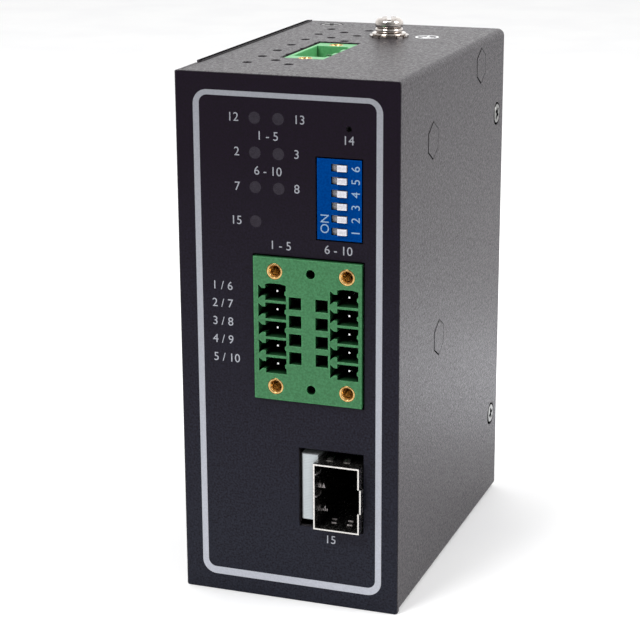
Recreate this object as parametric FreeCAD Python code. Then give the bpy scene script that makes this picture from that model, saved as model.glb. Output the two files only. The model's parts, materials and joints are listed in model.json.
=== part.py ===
import FreeCAD, Part
import math
import os

V = FreeCAD.Vector

# All sizes are in millimetres. +X is to the right seen from the front, +Y runs to the back, +Z is up.
# The origin is the middle of the case's underside.
# Depths are measured back from the front plate's face, drops down from the top wall's face.
# Insets are measured left from the main board's face. Places on the main board are (depth, drop),
# and places on the power board are (distance behind the power header's middle, drop).

# Case
case_width = 47.0
case_height = 110.0
case_depth = 77.0
sheet = 1.0
bend_inner = 0.5
panel_bend = 0.4
panel_corner = 0.5
panel_flange = 10.0
seam = 0.2
side_gap = 1.5
cover_flange = 10.0
cover_tab = 11.0
cover_proud = 0.2
tongue_height = 12.0
tongue_reach = 4.0
tongue_inset = 28.0
film = 0.25
film_margin = 0.1

# Holes in the top and bottom walls
vent_radius = 1.0
vent_step_x = 4.5
vent_step_depth = 4.25
vent_columns = 3
vent_end_margin = 6.0
vent_start_x = -13.35
vent_start_depth = 13.4

# Boards
board = 1.6
standoff_height = 4.9
standoff_flats = 6.9
standoff_edge = 0.15
standoff_barrel = 2.6
standoff_bore = 1.25
rear_standoff = 19.3
standoff_places = ((21.7, 15.3), (27.6, 58.4), (case_depth - rear_standoff, 5.5))
board_hole = 1.6
board_screw_head = 2.5
board_screw_head_height = 1.7
screw_end_gap = 1.0
main_board_front = 2.0
main_board_back = 7.0
main_board_drop = 2.5
main_board_low = 6.0
front_board_depth = 6.0
front_board_width = 26.0
front_board_drops = (33.5, 5.0)
power_board_reach = (-15.0, 30.0)
power_board_drops = (50.0, 6.5)
spacer_flats = 5.0
spacer_places = ((-10.0, 45.0), (25.0, 45.0), (16.0, 11.0))
link_size = 2.54
link_pins = 8

# Serial header, two columns of poles
serial_pitch = 3.81
serial_poles = 5
serial_column_step = 15.24
serial_seat = 3.1
serial_left_margin = 4.55
serial_drop = 51.1
serial_insert_reach = 4.4
serial_end_margin = 2.85
serial_proud = 1.0
serial_back = 13.0
pocket_depth = 8.0
pocket_height = 3.3
pocket_left = 2.05
pocket_right = 2.4
pocket_crown = 0.25
pocket_rib = 0.3
key_neck = 0.7
key_reach = 1.5
key_neck_height = 1.55
key_end_height = 2.85
insert_outer = 1.7
insert_bore = 1.05
insert_length = 6.0
serial_pin_width = 0.8
serial_pin_point = 0.35
serial_pin_taper = 0.7
serial_pin_recess = 1.5
serial_leg_gaps = (3.0, 1.2)
key_square_width = 2.65
key_square_height = 2.55
key_square_offsets = (4.3, -5.3)
dowel_radius = 0.95
blind_depth = 5.0
header_gap = 0.35

# Power header, one row of poles that run back along the top
power_pitch = 5.08
power_poles = 3
power_x = -4.7
power_depth = 33.5
power_width = 8.6
power_height = 12.0
power_recess = 0.25
power_insert_reach = 4.6
power_end_margin = 1.9
power_wall = 0.7
power_pocket_depth = 8.2
power_pocket_end = 2.5
power_notch_width = 2.4
power_notch_depth = 3.2
power_insert_outer = 1.6
power_insert_bore = 1.05
power_pin_width = 1.0
power_pin_recess = 1.4
power_leg_drop = 1.6
power_opening_gap = 0.45

# Slide switch
switch_inset = 4.9
switch_drop = 23.8
switch_ways = 6
switch_pitch = 2.54
switch_width = 9.2
switch_end_margin = 1.75
switch_proud = 0.2
switch_face = 0.5
switch_cover_depth = 4.0
slot_length = 3.4
slot_height = 1.5
lever_length = 2.0
lever_height = 1.25
lever_proud = 0.4
lever_end_gap = 0.1
foot_side = 1.6
foot_height = 1.7
foot_gap = 0.15
chamber_height = 2.04
switch_window_gap = 0.3

# Reset button
reset_inset = 2.9
reset_drop = 9.7
pinhole = 0.6
reset_body = 5.2
plunger_gap = 0.4
plunger_radius = 1.2
plunger_fit = 0.05
plunger_proud = 1.2
plunger_length = 2.4
plunger_travel = 0.3

# Lamps
lamp_insets = (22.45, 17.5)
lamp_drop = 8.55
lamp_step = 6.92
lamp_rows = 4
lamp_radius = 1.5
lamp_rim = 1.9
lamp_rim_height = 1.0
lamp_clear = 0.1
lamp_tip_depth = 0.3

# Network cage
cage_drop = 85.3
cage_height = 14.2
cage_width = 9.8
cage_wall = 0.3
cage_proud = 2.7
cage_back = 46.0
tongue_width = 5.2
tongue_step = 0.4
tongue_length = 2.0
latch_slot = 3.0
cage_window_side = 3.95
cage_window_right = 0.2
cage_window_below = 0.7
cage_window_above = 2.25
gasket_gap = 0.2
gasket_recess = 0.3
gasket_depth = 6.0
gasket_rise = 0.8
gasket_corner = 0.8
connector_depths = (34.0, 43.0)
connector_width = 10.0
connector_height = 6.4
connector_mouth = 2.2

# Ground screw
ground_x = 2.7
ground_depth = 57.0
ground_thread = 1.75
ground_hole = 1.9
ground_reach = 4.2
tooth_washer_radius = 4.3
tooth_washer_height = 0.5
tooth_count = 14
tooth_gap = 0.5
tooth_length = 0.45
flat_washer_radius = 3.75
flat_washer_height = 0.5
spring_washer_radius = 3.05
spring_washer_height = 1.1
spring_washer_split = 0.7
ground_head_radius = 3.1
ground_head_height = 2.2
ground_head_edge = 1.0
ground_nut_radius = 3.4
ground_nut_height = 2.6
thread_fit = 0.06

# Countersunk screws that hold the rear cover
side_screw_inset = 5.0
side_screw_low = 20.0
side_screw_drop = 18.4
top_screw_x = -16.0
side_screw_head = 2.7
side_screw_thread = 1.45
side_screw_tip = 4.0
sink_fit = 0.06
collar_radius = 2.4
collar_height = 1.5

# Rail clip on the back wall
clip_sheet = 1.5
clip_bend = 0.4
rail_rise = 5.0
rail_width = 35.0
rail_lip = 1.0
rail_play = 0.3
hook_gap = 1.6
hook_reach = 3.0
clip_half_width = 15.0
hook_inner = 8.0
clip_drop = 20.5
guide_drop = 4.5
latch_half_width = 10.5
latch_thickness = 1.8
latch_fit = 0.15
latch_pull = 9.0
latch_shoulder = 2.0
latch_nose_height = 4.0
latch_nose_grip = 1.5
latch_nose_chamfer = 1.3
latch_nose_slope = 1.0
guide_lip = 2.0
pull_slot_half = 3.0
pull_slot_height = 2.0
pull_slot_rise = 4.0
spring_half = 2.4
spring_radius = 1.55
spring_wire = 0.5
spring_turns = 6
spring_sides = 6
spring_room = 10.8
spring_tab = 1.2
spring_tab_half = 1.4
spring_window_rise = 1.0
spring_window_drop = 4.2
spring_peg_half = 0.8
spring_peg = 1.4
clip_screw_x = 10.0
clip_screw_rise = 6.0
clip_screw_head = 2.75
clip_screw_tip = 3.4
clip_nut_radius = 2.8
clip_nut_height = 1.6

# Parts on the boards: width along the depth, height, thickness
processor_size = (17.0, 17.0, 1.4)
processor_place = (46.0, 60.0)
memory_size = (8.0, 12.0, 1.0)
memory_place = (59.0, 60.0)
network_chip_size = (9.0, 9.0, 1.0)
network_chip_place = (58.0, 83.0)
driver_size = (10.3, 7.5, 2.4)
driver_places = ((27.0, 35.0), (27.0, 68.0))
crystal_size = (4.6, 11.0, 3.4)
crystal_place = (62.0, 72.0)
transformer_size = (13.0, 15.0, 9.0)
transformer_place = (-6.0, 26.0)
inductor_size = (12.0, 12.0, 6.5)
inductor_place = (12.0, 32.0)
part_edge = 0.5
capacitor_radius = 5.0
capacitor_height = 13.0
capacitor_places = ((8.0, 20.0), (23.0, 26.0), (23.0, 37.0))

# Derived places
left = -case_width / 2
right = case_width / 2
front = -case_depth / 2
back = case_depth / 2
bend_outer = bend_inner + sheet
top_inside = case_height - sheet
wall_inside = right - sheet
board_face = wall_inside - standoff_height - board
serial_right_x = board_face - serial_seat
serial_left_x = serial_right_x - serial_column_step
serial_columns = (serial_left_x, serial_right_x)
serial_middle = case_height - serial_drop
serial_span = (serial_poles - 1) * serial_pitch
serial_half = serial_span / 2 + serial_insert_reach
power_face = power_x + power_width / 2
power_span = (power_poles - 1) * power_pitch
power_half = power_span / 2 + power_insert_reach
power_top = case_height - power_recess
power_bottom = power_top - power_height
switch_x = board_face - switch_inset
switch_level = case_height - switch_drop
reset_x = board_face - reset_inset
reset_level = case_height - reset_drop
plunger_start = sheet + plunger_gap
reset_face = plunger_start + plunger_proud
cage_level = case_height - cage_drop
cage_right = board_face
cage_left = cage_right - cage_width
rail_level = case_height / 2 + rail_rise
rail_top = rail_level + rail_width / 2
rail_bottom = rail_level - rail_width / 2
guide_top = rail_bottom - guide_drop
clip_low = rail_bottom - clip_drop
latch_low = clip_low - latch_pull
spring_window_top = guide_top + spring_window_rise
spring_seat = spring_window_top - spring_room
clip_face = back + clip_sheet
clip_screw_shank = clip_screw_head - clip_sheet
lever_x = switch_x + slot_length / 2 - lever_end_gap - lever_length / 2
lever_travel = slot_length - lever_length - 2 * lever_end_gap
flat_washer_seat = case_height + tooth_washer_height
spring_washer_seat = flat_washer_seat + flat_washer_height
ground_head_seat = spring_washer_seat + spring_washer_height


def behind(depth):
    """Y of a point at a depth behind the front plate's face."""
    return front + depth


def below(drop):
    """Z of a point at a drop below the top wall's face."""
    return case_height - drop


def board_point(at):
    """Y and Z of a place on the main board."""
    return behind(at[0]), below(at[1])


def power_point(at):
    """Y and Z of a place on the power board."""
    return behind(power_depth + at[0]), below(at[1])


def span(centre, size):
    """Low and high end of a size about its centre."""
    return (centre - size / 2, centre + size / 2)


def box(x, y, z):
    """Box between three pairs of ends."""
    return Part.makeBox(x[1] - x[0], y[1] - y[0], z[1] - z[0], V(x[0], y[0], z[0]))


def place(axis, u, v, level):
    """Point at (u, v) on the plane that crosses a named axis at a level."""
    if axis == "x":
        return V(level, u, v)
    if axis == "y":
        return V(u, level, v)
    return V(u, v, level)


def direction(axis):
    """Unit vector of a named axis."""
    return place(axis, 0, 0, 1)


def rod(radius, axis, at, ends):
    """Round bar along a named axis between two ends."""
    base = place(axis, at[0], at[1], ends[0])
    return Part.makeCylinder(radius, ends[1] - ends[0], base, direction(axis))


def taper(radii, axis, at, ends):
    """Cone along a named axis, with a radius at each end."""
    base = place(axis, at[0], at[1], ends[0])
    return Part.makeCone(radii[0], radii[1], ends[1] - ends[0], base, direction(axis))


def ring(outer, inner, axis, at, ends):
    """Round bar with a round bore."""
    return rod(outer, axis, at, ends).cut(rod(inner, axis, at, ends))


def corner_points(before, corner, after, radius):
    """Start, middle and end of the arc that rounds a corner."""
    incoming = (before - corner).normalize()
    outgoing = (after - corner).normalize()
    half = incoming.getAngle(outgoing) / 2
    trim = radius / math.tan(half)
    bisector = (incoming + outgoing).normalize()
    middle = corner + bisector * (radius / math.sin(half) - radius)
    return corner + incoming * trim, middle, corner + outgoing * trim


def prism(corners, axis, ends):
    """Solid with an outline of (u, v, corner radius) points across a named axis."""
    points = [place(axis, u, v, ends[0]) for u, v, radius in corners]
    count = len(points)
    arcs = []
    for index, (u, v, radius) in enumerate(corners):
        arcs.append(corner_points(points[index - 1], points[index], points[(index + 1) % count], radius))
    edges = []
    for index in range(count):
        start, middle, end = arcs[index]
        following = arcs[(index + 1) % count][0]
        if corners[index][2] > 0:
            edges.append(Part.Arc(start, middle, end).toShape())
        if end.distanceToPoint(following) > 1e-6:
            edges.append(Part.makeLine(end, following))
    face = Part.Face(Part.Wire(edges))
    return face.extrude(direction(axis) * (ends[1] - ends[0]))


def hexagon(flats, axis, at, ends):
    """Hexagon bar with a corner pointing along the second direction."""
    radius = flats / math.sqrt(3)
    corners = []
    for index in range(6):
        angle = math.radians(30 + 60 * index)
        corners.append((at[0] + radius * math.cos(angle), at[1] + radius * math.sin(angle), 0))
    return prism(corners, axis, ends)


def chip(size, at, face):
    """Moulded block at (Y, Z) that stands on a board's left face, with its outer edges eased."""
    low, high = span(at[0], size[0])
    bottom, top = span(at[1], size[1])
    corners = [(low, bottom, part_edge), (high, bottom, part_edge)]
    corners += [(high, top, part_edge), (low, top, part_edge)]
    return prism(corners, "x", (face - size[2], face))


def serial_levels():
    """Heights of the serial header's poles."""
    return [serial_middle - serial_span / 2 + index * serial_pitch for index in range(serial_poles)]


def power_depths():
    """Depths of the power header's poles."""
    return [power_depth - power_span / 2 + index * power_pitch for index in range(power_poles)]


def lever_levels():
    """Heights of the slide switch's levers, the first at the bottom."""
    low = switch_level - (switch_ways - 1) * switch_pitch / 2
    return [low + index * switch_pitch for index in range(switch_ways)]


def lamp_places():
    """Places of the lamps: two in each row but the last, which has one."""
    places = []
    for row in range(lamp_rows):
        level = below(lamp_drop + row * lamp_step)
        insets = lamp_insets if row < lamp_rows - 1 else lamp_insets[:1]
        places += [(board_face - inset, level) for inset in insets]
    return places


def serial_box(gap):
    """Ends of the serial header's body in X and Z, grown by a gap."""
    x = (serial_left_x - serial_left_margin - gap, board_face + gap)
    reach = serial_half + serial_end_margin + gap
    return x, (serial_middle - reach, serial_middle + reach)


def switch_box(gap):
    """Ends of the slide switch in X and Z, grown by a gap."""
    half = (switch_ways - 1) * switch_pitch / 2 + switch_end_margin + gap
    return span(switch_x, switch_width + 2 * gap), (switch_level - half, switch_level + half)


def cage_window():
    """Ends of the opening that the network cage comes through."""
    x = (cage_left - cage_window_side, cage_right + cage_window_right)
    low, high = span(cage_level, cage_height)
    return x, (low - cage_window_below, high + cage_window_above)


def front_openings(depths):
    """Cutters for the openings that the front plate and its film share."""
    y = (behind(depths[0]), behind(depths[1]))
    openings = (serial_box(header_gap), switch_box(switch_window_gap), cage_window())
    cutters = [box(x, y, z) for x, z in openings]
    return cutters + [rod(pinhole, "y", (reset_x, reset_level), y)]


def vent_holes(levels):
    """Staggered round holes through a wall between two levels, as many as its depth has room for."""
    room = case_depth - vent_start_depth - vent_end_margin
    full_column = int(room / (2 * vent_step_depth)) + 1
    holes = []
    for column in range(vent_columns):
        x = vent_start_x + column * vent_step_x
        start = vent_start_depth + (column % 2) * vent_step_depth
        for row in range(full_column - column % 2):
            at = (x, behind(start + 2 * row * vent_step_depth))
            holes.append(rod(vent_radius, "z", at, levels))
    return holes


def side_screw_places():
    """Y and Z of the side screws, which sit near the back edge."""
    return [(back - side_screw_inset, level) for level in (side_screw_low, below(side_screw_drop))]


def top_screw_place():
    """X and Y of the top screw, as far from the back edge as the side screws."""
    return top_screw_x, back - side_screw_inset


def make_chassis():
    """Right, top and bottom walls, folded from one sheet."""
    edge = left + sheet + seam
    corners = [(edge, case_height, 0), (right, case_height, bend_outer), (right, 0, bend_outer), (edge, 0, 0)]
    corners += [(edge, sheet, 0), (wall_inside, sheet, bend_inner)]
    corners += [(wall_inside, top_inside, bend_inner), (edge, top_inside, 0)]
    wrap = prism(corners, "y", (front + sheet, back))
    cutters = vent_holes((top_inside, case_height)) + vent_holes((0, sheet))
    opening_half = power_half + power_end_margin + power_opening_gap
    opening_y = (behind(power_depth - opening_half), behind(power_depth + opening_half))
    opening_x = span(power_x, power_width + 2 * power_opening_gap)
    cutters.append(box(opening_x, opening_y, (top_inside, case_height)))
    cutters.append(rod(ground_hole, "z", (ground_x, behind(ground_depth)), (top_inside, case_height)))
    for at in standoff_places:
        cutters.append(hexagon(standoff_flats, "x", board_point(at), (wall_inside, right)))
    wide = side_screw_head + sink_fit
    for at in side_screw_places():
        cutters.append(taper((wide - sheet, wide), "x", at, (wall_inside, right)))
    cutters.append(taper((wide - sheet, wide), "z", top_screw_place(), (top_inside, case_height)))
    return wrap.cut(cutters)


def make_front_panel():
    """Front plate with a short flange folded back along its left edge."""
    flange_back = behind(panel_flange)
    corners = [(right, front, 0), (left, front, panel_bend), (left, flange_back, 0)]
    corners += [(left + sheet, flange_back, 0), (left + sheet, front + sheet, 0), (right, front + sheet, 0)]
    folded = prism(corners, "z", (0, case_height))
    face = [(left, 0, panel_corner), (right, 0, panel_corner), (right, case_height, panel_corner)]
    face += [(left, case_height, panel_corner)]
    folded = folded.common(prism(face, "y", (front, flange_back)))
    cutters = front_openings((0, sheet))
    for at in lamp_places():
        cutters.append(rod(lamp_radius + lamp_clear, "y", at, (front, front + sheet)))
    return folded.cut(cutters)


def make_front_label():
    """Printed film over the whole front plate, with the plate's openings."""
    x = (left + panel_bend, right - film_margin)
    z = (film_margin, case_height - film_margin)
    corners = [(x[0], z[0], panel_corner), (x[1], z[0], panel_corner), (x[1], z[1], panel_corner)]
    corners += [(x[0], z[1], panel_corner)]
    return prism(corners, "y", (behind(-film), front)).cut(front_openings((-film, 0)))


def make_rear_cover():
    """Left wall, a little taller than the case, back wall, right flange and top tab, of one sheet."""
    edge = behind(panel_flange + side_gap)
    flange_edge = back - cover_flange
    corners = [(left, edge, 0), (left, back, bend_outer), (wall_inside, back, bend_outer)]
    corners += [(wall_inside, flange_edge, 0), (wall_inside - sheet, flange_edge, 0)]
    corners += [(wall_inside - sheet, back - sheet, bend_inner), (left + sheet, back - sheet, bend_inner)]
    corners += [(left + sheet, edge, 0)]
    cover_top = case_height + cover_proud
    cover = prism(corners, "z", (0, cover_top))
    rest = (left + sheet, right)
    bend = (wall_inside - bend_inner - seam, right)
    cutters = [box(rest, (front, back), (top_inside - seam, cover_top))]
    cutters.append(box(rest, (front, back), (0, sheet + seam)))
    cutters.append(box(bend, (front, back), (top_inside - bend_inner - seam, cover_top)))
    cutters.append(box(bend, (front, back), (0, sheet + bend_inner + seam)))
    cover = cover.cut(cutters)
    pieces = [cover_tongue(level) for level in (tongue_inset, below(tongue_inset))]
    pieces.append(cover_top_tab())
    collar_end = wall_inside - sheet - collar_height
    top_collar_end = top_inside - sheet - collar_height
    for at in side_screw_places():
        pieces.append(rod(collar_radius, "x", at, (collar_end, wall_inside - sheet)))
    pieces.append(rod(collar_radius, "z", top_screw_place(), (top_collar_end, top_inside - sheet)))
    cover = cover.fuse(pieces)
    bore = side_screw_thread + thread_fit
    cutters = [rod(bore, "x", at, (collar_end, wall_inside)) for at in side_screw_places()]
    cutters.append(rod(bore, "z", top_screw_place(), (top_collar_end, top_inside)))
    for at in clip_screw_places():
        cutters.append(rod(clip_nut_radius, "y", at, (back - sheet, back)))
    return cover.cut(cutters).removeSplitter()


def cover_top_tab():
    """Tab folded forward from the back wall, under the top wall."""
    root = top_inside - 2 * bend_outer
    corners = [(back, root, 0), (back, top_inside, bend_outer), (back - cover_flange, top_inside, 0)]
    corners += [(back - cover_flange, top_inside - sheet, 0), (back - sheet, top_inside - sheet, bend_inner)]
    corners += [(back - sheet, root, 0)]
    return prism(corners, "x", span(top_screw_x, cover_tab))


def cover_tongue(level):
    """Tongue at the left wall's front edge, set inwards to hook behind the front flange."""
    edge = behind(panel_flange + side_gap)
    tip = behind(panel_flange - tongue_reach)
    outer = left + sheet + seam
    inner = outer + sheet
    corners = [(left + sheet, edge, 0), (outer, edge - seam, 0), (outer, tip, 0), (inner, tip, 0)]
    corners += [(inner, edge + sheet, 0), (left + sheet, edge + 2 * sheet, 0)]
    return prism(corners, "z", span(level, tongue_height))


def make_serial_header():
    """Moulded double-row header with keyed pockets, square key holes and dowel holes."""
    x, z = serial_box(0)
    body = box(x, (behind(-serial_proud), behind(serial_back)), z)
    face = behind(-serial_proud)
    cutters = []
    for index, column in enumerate(serial_columns):
        for number, level in enumerate(serial_levels()):
            crown = pocket_crown if number == serial_poles - 1 else 0
            cutters.append(prism(pocket_outline(column, level, crown), "y", (face, face + pocket_depth)))
            pin_x = span(column, serial_pin_width)
            cutters.append(box(pin_x, (face, behind(serial_back)), span(level, serial_pin_width)))
        for end in (-serial_half, serial_half):
            at = (column, serial_middle + end)
            cutters.append(rod(insert_outer, "y", at, (face, face + insert_length)))
        for low, high in zip(serial_levels()[:-1], serial_levels()[1:]):
            square_x = span(column + key_square_offsets[index], key_square_width)
            square_z = span((low + high) / 2, key_square_height)
            cutters.append(box(square_x, (face, face + blind_depth), square_z))
    middle_x = (serial_left_x + serial_right_x) / 2
    for end in (-serial_half, serial_half):
        cutters.append(rod(dowel_radius, "y", (middle_x, serial_middle + end), (face, face + blind_depth)))
    return body.cut(cutters)


def pocket_outline(column, level, crown):
    """One pole's pocket: a waisted key slot on its left, a rib on its right, arched above by a crown."""
    half = pocket_height / 2
    neck_half = key_neck_height / 2
    end_half = key_end_height / 2
    start = column - pocket_left
    neck = start - key_neck
    end = start - key_reach
    wall = column + pocket_right
    corners = [(start, level - half, 0), (wall, level - half, 0)]
    corners += [(wall, level - 2 * pocket_rib, 0), (wall - pocket_rib, level - pocket_rib, 0)]
    corners += [(wall - pocket_rib, level + pocket_rib, 0), (wall, level + 2 * pocket_rib, 0)]
    corners += [(wall, level + half, 0)]
    if crown > 0:
        corners += [(column + pocket_right / 2, level + half + crown, crown)]
        corners += [(column - pocket_left / 2, level + half + crown, crown)]
    corners += [(start, level + half, 0), (start, level + neck_half, 0), (neck, level + neck_half, 0)]
    corners += [(end, level + end_half, 0), (end, level - end_half, 0)]
    corners += [(neck, level - neck_half, 0), (start, level - neck_half, 0)]
    return corners


def make_serial_pins():
    """Square pins with a pointed end that run back through the header and turn right into the main board."""
    pins = []
    half = serial_pin_width / 2
    point = serial_pin_point / 2
    tip = behind(serial_pin_recess - serial_proud)
    root = tip + serial_pin_taper
    for column, leg_gap in zip(serial_columns, serial_leg_gaps):
        leg = behind(serial_back + leg_gap)
        for level in serial_levels():
            corners = [(column - half, root, 0), (column + half, root, 0), (column + half, leg - half, 0)]
            corners += [(board_face + board, leg - half, 0), (board_face + board, leg + half, 0)]
            corners += [(column - half, leg + half, half)]
            shaft = prism(corners, "z", span(level, serial_pin_width))
            end = Part.makeWedge(column - point, tip, level - point, level - half, column - half,
                                 column + point, root, level + point, level + half, column + half)
            pins.append(shaft.fuse(end))
    return Part.makeCompound(pins)


def make_serial_inserts():
    """Threaded bushes in the header's corners."""
    face = behind(-serial_proud)
    bushes = []
    for column in serial_columns:
        for end in (-serial_half, serial_half):
            at = (column, serial_middle + end)
            bush = rod(insert_outer, "y", at, (face, face + insert_length))
            bushes.append(bush.cut(rod(insert_bore, "y", at, (face, face + blind_depth))))
    return Part.makeCompound(bushes)


def make_power_header():
    """Moulded header with one trough, notched along its right wall."""
    half = power_half + power_end_margin
    body = box(span(power_x, power_width), (behind(power_depth - half), behind(power_depth + half)),
               (power_bottom, power_top))
    pocket_half = power_span / 2 + power_pocket_end
    pocket_y = (behind(power_depth - pocket_half), behind(power_depth + pocket_half))
    pocket_x = span(power_x, power_width - 2 * power_wall)
    cutters = [box(pocket_x, pocket_y, (power_top - power_pocket_depth, power_top))]
    for depth in power_depths():
        notch_x = (power_x, power_x + power_width / 2)
        notch_y = span(behind(depth), power_notch_width)
        cutters.append(box(notch_x, notch_y, (power_top - power_notch_depth, power_top)))
        pin_y = span(behind(depth), power_pin_width)
        leg_z = (power_bottom, power_top)
        cutters.append(box(span(power_x, power_pin_width), pin_y, leg_z))
    for depth in (power_depth - power_half, power_depth + power_half):
        at = (power_x, behind(depth))
        cutters.append(rod(power_insert_outer, "z", at, (power_top - insert_length, power_top)))
    return body.cut(cutters)


def make_power_pins():
    """Square pins that run down through the header and turn right into the power board."""
    pins = []
    half = power_pin_width / 2
    leg = power_bottom - power_leg_drop
    tip = power_top - power_pin_recess
    for depth in power_depths():
        corners = [(power_x - half, tip, 0), (power_x + half, tip, 0), (power_x + half, leg + half, 0)]
        corners += [(power_face + board, leg + half, 0), (power_face + board, leg - half, 0)]
        corners += [(power_x - half, leg - half, half)]
        pins.append(prism(corners, "y", span(behind(depth), power_pin_width)))
    return Part.makeCompound(pins)


def make_power_inserts():
    """Threaded bushes at the ends of the power header."""
    bushes = []
    for depth in (power_depth - power_half, power_depth + power_half):
        at = (power_x, behind(depth))
        bush = rod(power_insert_outer, "z", at, (power_top - insert_length, power_top))
        bushes.append(bush.cut(rod(power_insert_bore, "z", at, (power_top - blind_depth, power_top))))
    return Part.makeCompound(bushes)


def make_switch_cover():
    """Moulded cover of the slide switch, with a slot and a chamber for each lever."""
    x, z = switch_box(0)
    face = behind(-switch_proud)
    cover = box(x, (face, face + switch_cover_depth), z)
    foot = lever_length + 2 * foot_side
    chamber_length = foot + lever_travel + 2 * lever_end_gap
    cutters = []
    for level in lever_levels():
        cutters.append(box(span(switch_x, slot_length), (face, face + switch_face), span(level, slot_height)))
        chamber_y = (face + switch_face, face + switch_cover_depth)
        cutters.append(box(span(switch_x, chamber_length), chamber_y, span(level, chamber_height)))
    return cover.cut(cutters)


def make_switch_base():
    """Base of the slide switch, between its cover and the front board."""
    x, z = switch_box(0)
    return box(x, (behind(switch_cover_depth - switch_proud), behind(front_board_depth)), z)


def make_switch_lever(level):
    """Knob in the slot, with a wider foot that slides in the chamber behind the face."""
    face = behind(-switch_proud)
    inside = face + switch_face + foot_gap
    chamfer = lever_proud / 2
    x = span(lever_x, lever_length)
    outline = [(x[0], inside, 0), (x[0], face - lever_proud, chamfer), (x[1], face - lever_proud, chamfer)]
    outline += [(x[1], inside, 0)]
    knob = prism(outline, "z", span(level, lever_height))
    foot_x = span(lever_x, lever_length + 2 * foot_side)
    foot_y = (inside, face + switch_cover_depth - foot_gap)
    return knob.fuse(box(foot_x, foot_y, span(level, foot_height)))


def make_reset_switch():
    """Body of the push switch behind the pinhole, bored for its plunger."""
    face = behind(reset_face)
    body = box(span(reset_x, reset_body), (face, behind(front_board_depth)), span(reset_level, reset_body))
    bore_end = behind(plunger_start + plunger_length + plunger_travel + plunger_fit)
    bore = rod(plunger_radius + plunger_fit, "y", (reset_x, reset_level), (face, bore_end))
    return body.cut(bore)


def make_reset_plunger():
    """Round plunger of the push switch."""
    ends = (behind(plunger_start), behind(plunger_start + plunger_length))
    return rod(plunger_radius, "y", (reset_x, reset_level), ends)


def make_lamps():
    """Round flat-topped lamps with a rim, standing on the front board."""
    lamps = []
    for at in lamp_places():
        seat = behind(front_board_depth)
        stem = rod(lamp_radius, "y", at, (behind(lamp_tip_depth), seat))
        rim = rod(lamp_rim, "y", at, (seat - lamp_rim_height, seat))
        lamps.append(stem.fuse(rim).removeSplitter())
    return Part.makeCompound(lamps)


def make_network_cage():
    """Sheet cage for a pluggable module, open in front and over the connector, with a latch tongue."""
    z = span(cage_level, cage_height)
    y = (behind(-cage_proud), behind(cage_back))
    cage = box((cage_left, cage_right), y, z)
    inner_x = (cage_left + cage_wall, cage_right - cage_wall)
    inner_z = (z[0] + cage_wall, z[1] - cage_wall)
    cutters = [box(inner_x, (y[0], y[1] - cage_wall), inner_z)]
    foot = (cage_right - cage_wall, cage_right)
    cutters.append(box(foot, (behind(connector_depths[0]), y[1] - cage_wall), inner_z))
    cutters.append(box(foot, (y[0], y[0] + tongue_length), span(cage_level, tongue_width)))
    slot = [(y[0] + tongue_length + latch_slot, cage_level, 0)]
    slot += [(y[0] + tongue_length + 2 * latch_slot, cage_level - latch_slot / 2, 0)]
    slot += [(y[0] + tongue_length + 2 * latch_slot, cage_level + latch_slot / 2, 0)]
    cutters.append(prism(slot, "x", foot))
    root = y[0] + tongue_length
    bent = root - tongue_step
    step = [(foot[0], root, 0), (foot[0] + tongue_step, bent, 0), (foot[0] + tongue_step, y[0], 0)]
    step += [(foot[1] + tongue_step, y[0], 0), (foot[1] + tongue_step, bent, 0), (foot[1], root, 0)]
    tongue = prism(step, "z", span(cage_level, tongue_width))
    return cage.cut(cutters).fuse(tongue).removeSplitter()


def make_cage_gasket():
    """Soft conductive strip on the cage's side, in the front plate's opening."""
    x = (cage_left - cage_window_side + gasket_gap, cage_left)
    y = (behind(gasket_recess), behind(gasket_recess + gasket_depth))
    corners = [(x[0], y[0], gasket_corner), (x[1], y[0], 0), (x[1], y[1], 0), (x[0], y[1], gasket_corner)]
    return prism(corners, "z", span(cage_level + gasket_rise, cage_height))


def make_network_connector():
    """Edge connector on the main board inside the cage, with its slot facing the front."""
    y = (behind(connector_depths[0]), behind(connector_depths[1]))
    z = span(cage_level, connector_width)
    body = box((board_face - connector_height, board_face), y, z)
    slot_x = span(board_face - connector_height / 2, connector_mouth)
    slot_z = span(cage_level, connector_width - connector_mouth)
    return body.cut(box(slot_x, (y[0], y[0] + blind_depth), slot_z))


def make_main_board():
    """Main board, upright beside the right wall, drilled for its screws and pins."""
    x = (board_face, board_face + board)
    y = (behind(main_board_front), back - main_board_back)
    blank = box(x, y, (main_board_low, below(main_board_drop)))
    cutters = [rod(board_hole, "x", board_point(at), x) for at in standoff_places]
    for leg_gap in serial_leg_gaps:
        for level in serial_levels():
            hole_y = span(behind(serial_back + leg_gap), serial_pin_width)
            cutters.append(box(x, hole_y, span(level, serial_pin_width)))
    return blank.cut(cutters)


def make_standoffs():
    """Hexagon-headed standoffs pressed into the right wall, stepped round the face."""
    posts = []
    for at in map(board_point, standoff_places):
        head = hexagon(standoff_flats, "x", at, (wall_inside, right - standoff_edge))
        face = hexagon(standoff_flats - 2 * standoff_edge, "x", at, (right - standoff_edge, right))
        barrel = rod(standoff_barrel, "x", at, (board_face + board, wall_inside))
        bore = rod(standoff_bore, "x", at, (board_face + board, wall_inside))
        posts.append(head.fuse([face, barrel]).cut(bore))
    return Part.makeCompound(posts)


def make_board_screws():
    """Pan-head screws that hold the main board to its standoffs."""
    screws = []
    for at in map(board_point, standoff_places):
        head = rod(board_screw_head, "x", at, (board_face - board_screw_head_height, board_face))
        shank = rod(standoff_bore - thread_fit, "x", at, (board_face, wall_inside - screw_end_gap))
        screws.append(head.fuse(shank))
    return Part.makeCompound(screws)


def make_front_board():
    """Board behind the front plate for the lamps and switches; its right edge meets the main board."""
    y = (behind(front_board_depth), behind(front_board_depth + board))
    z = (below(front_board_drops[0]), below(front_board_drops[1]))
    return box((board_face - front_board_width, board_face), y, z)


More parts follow.
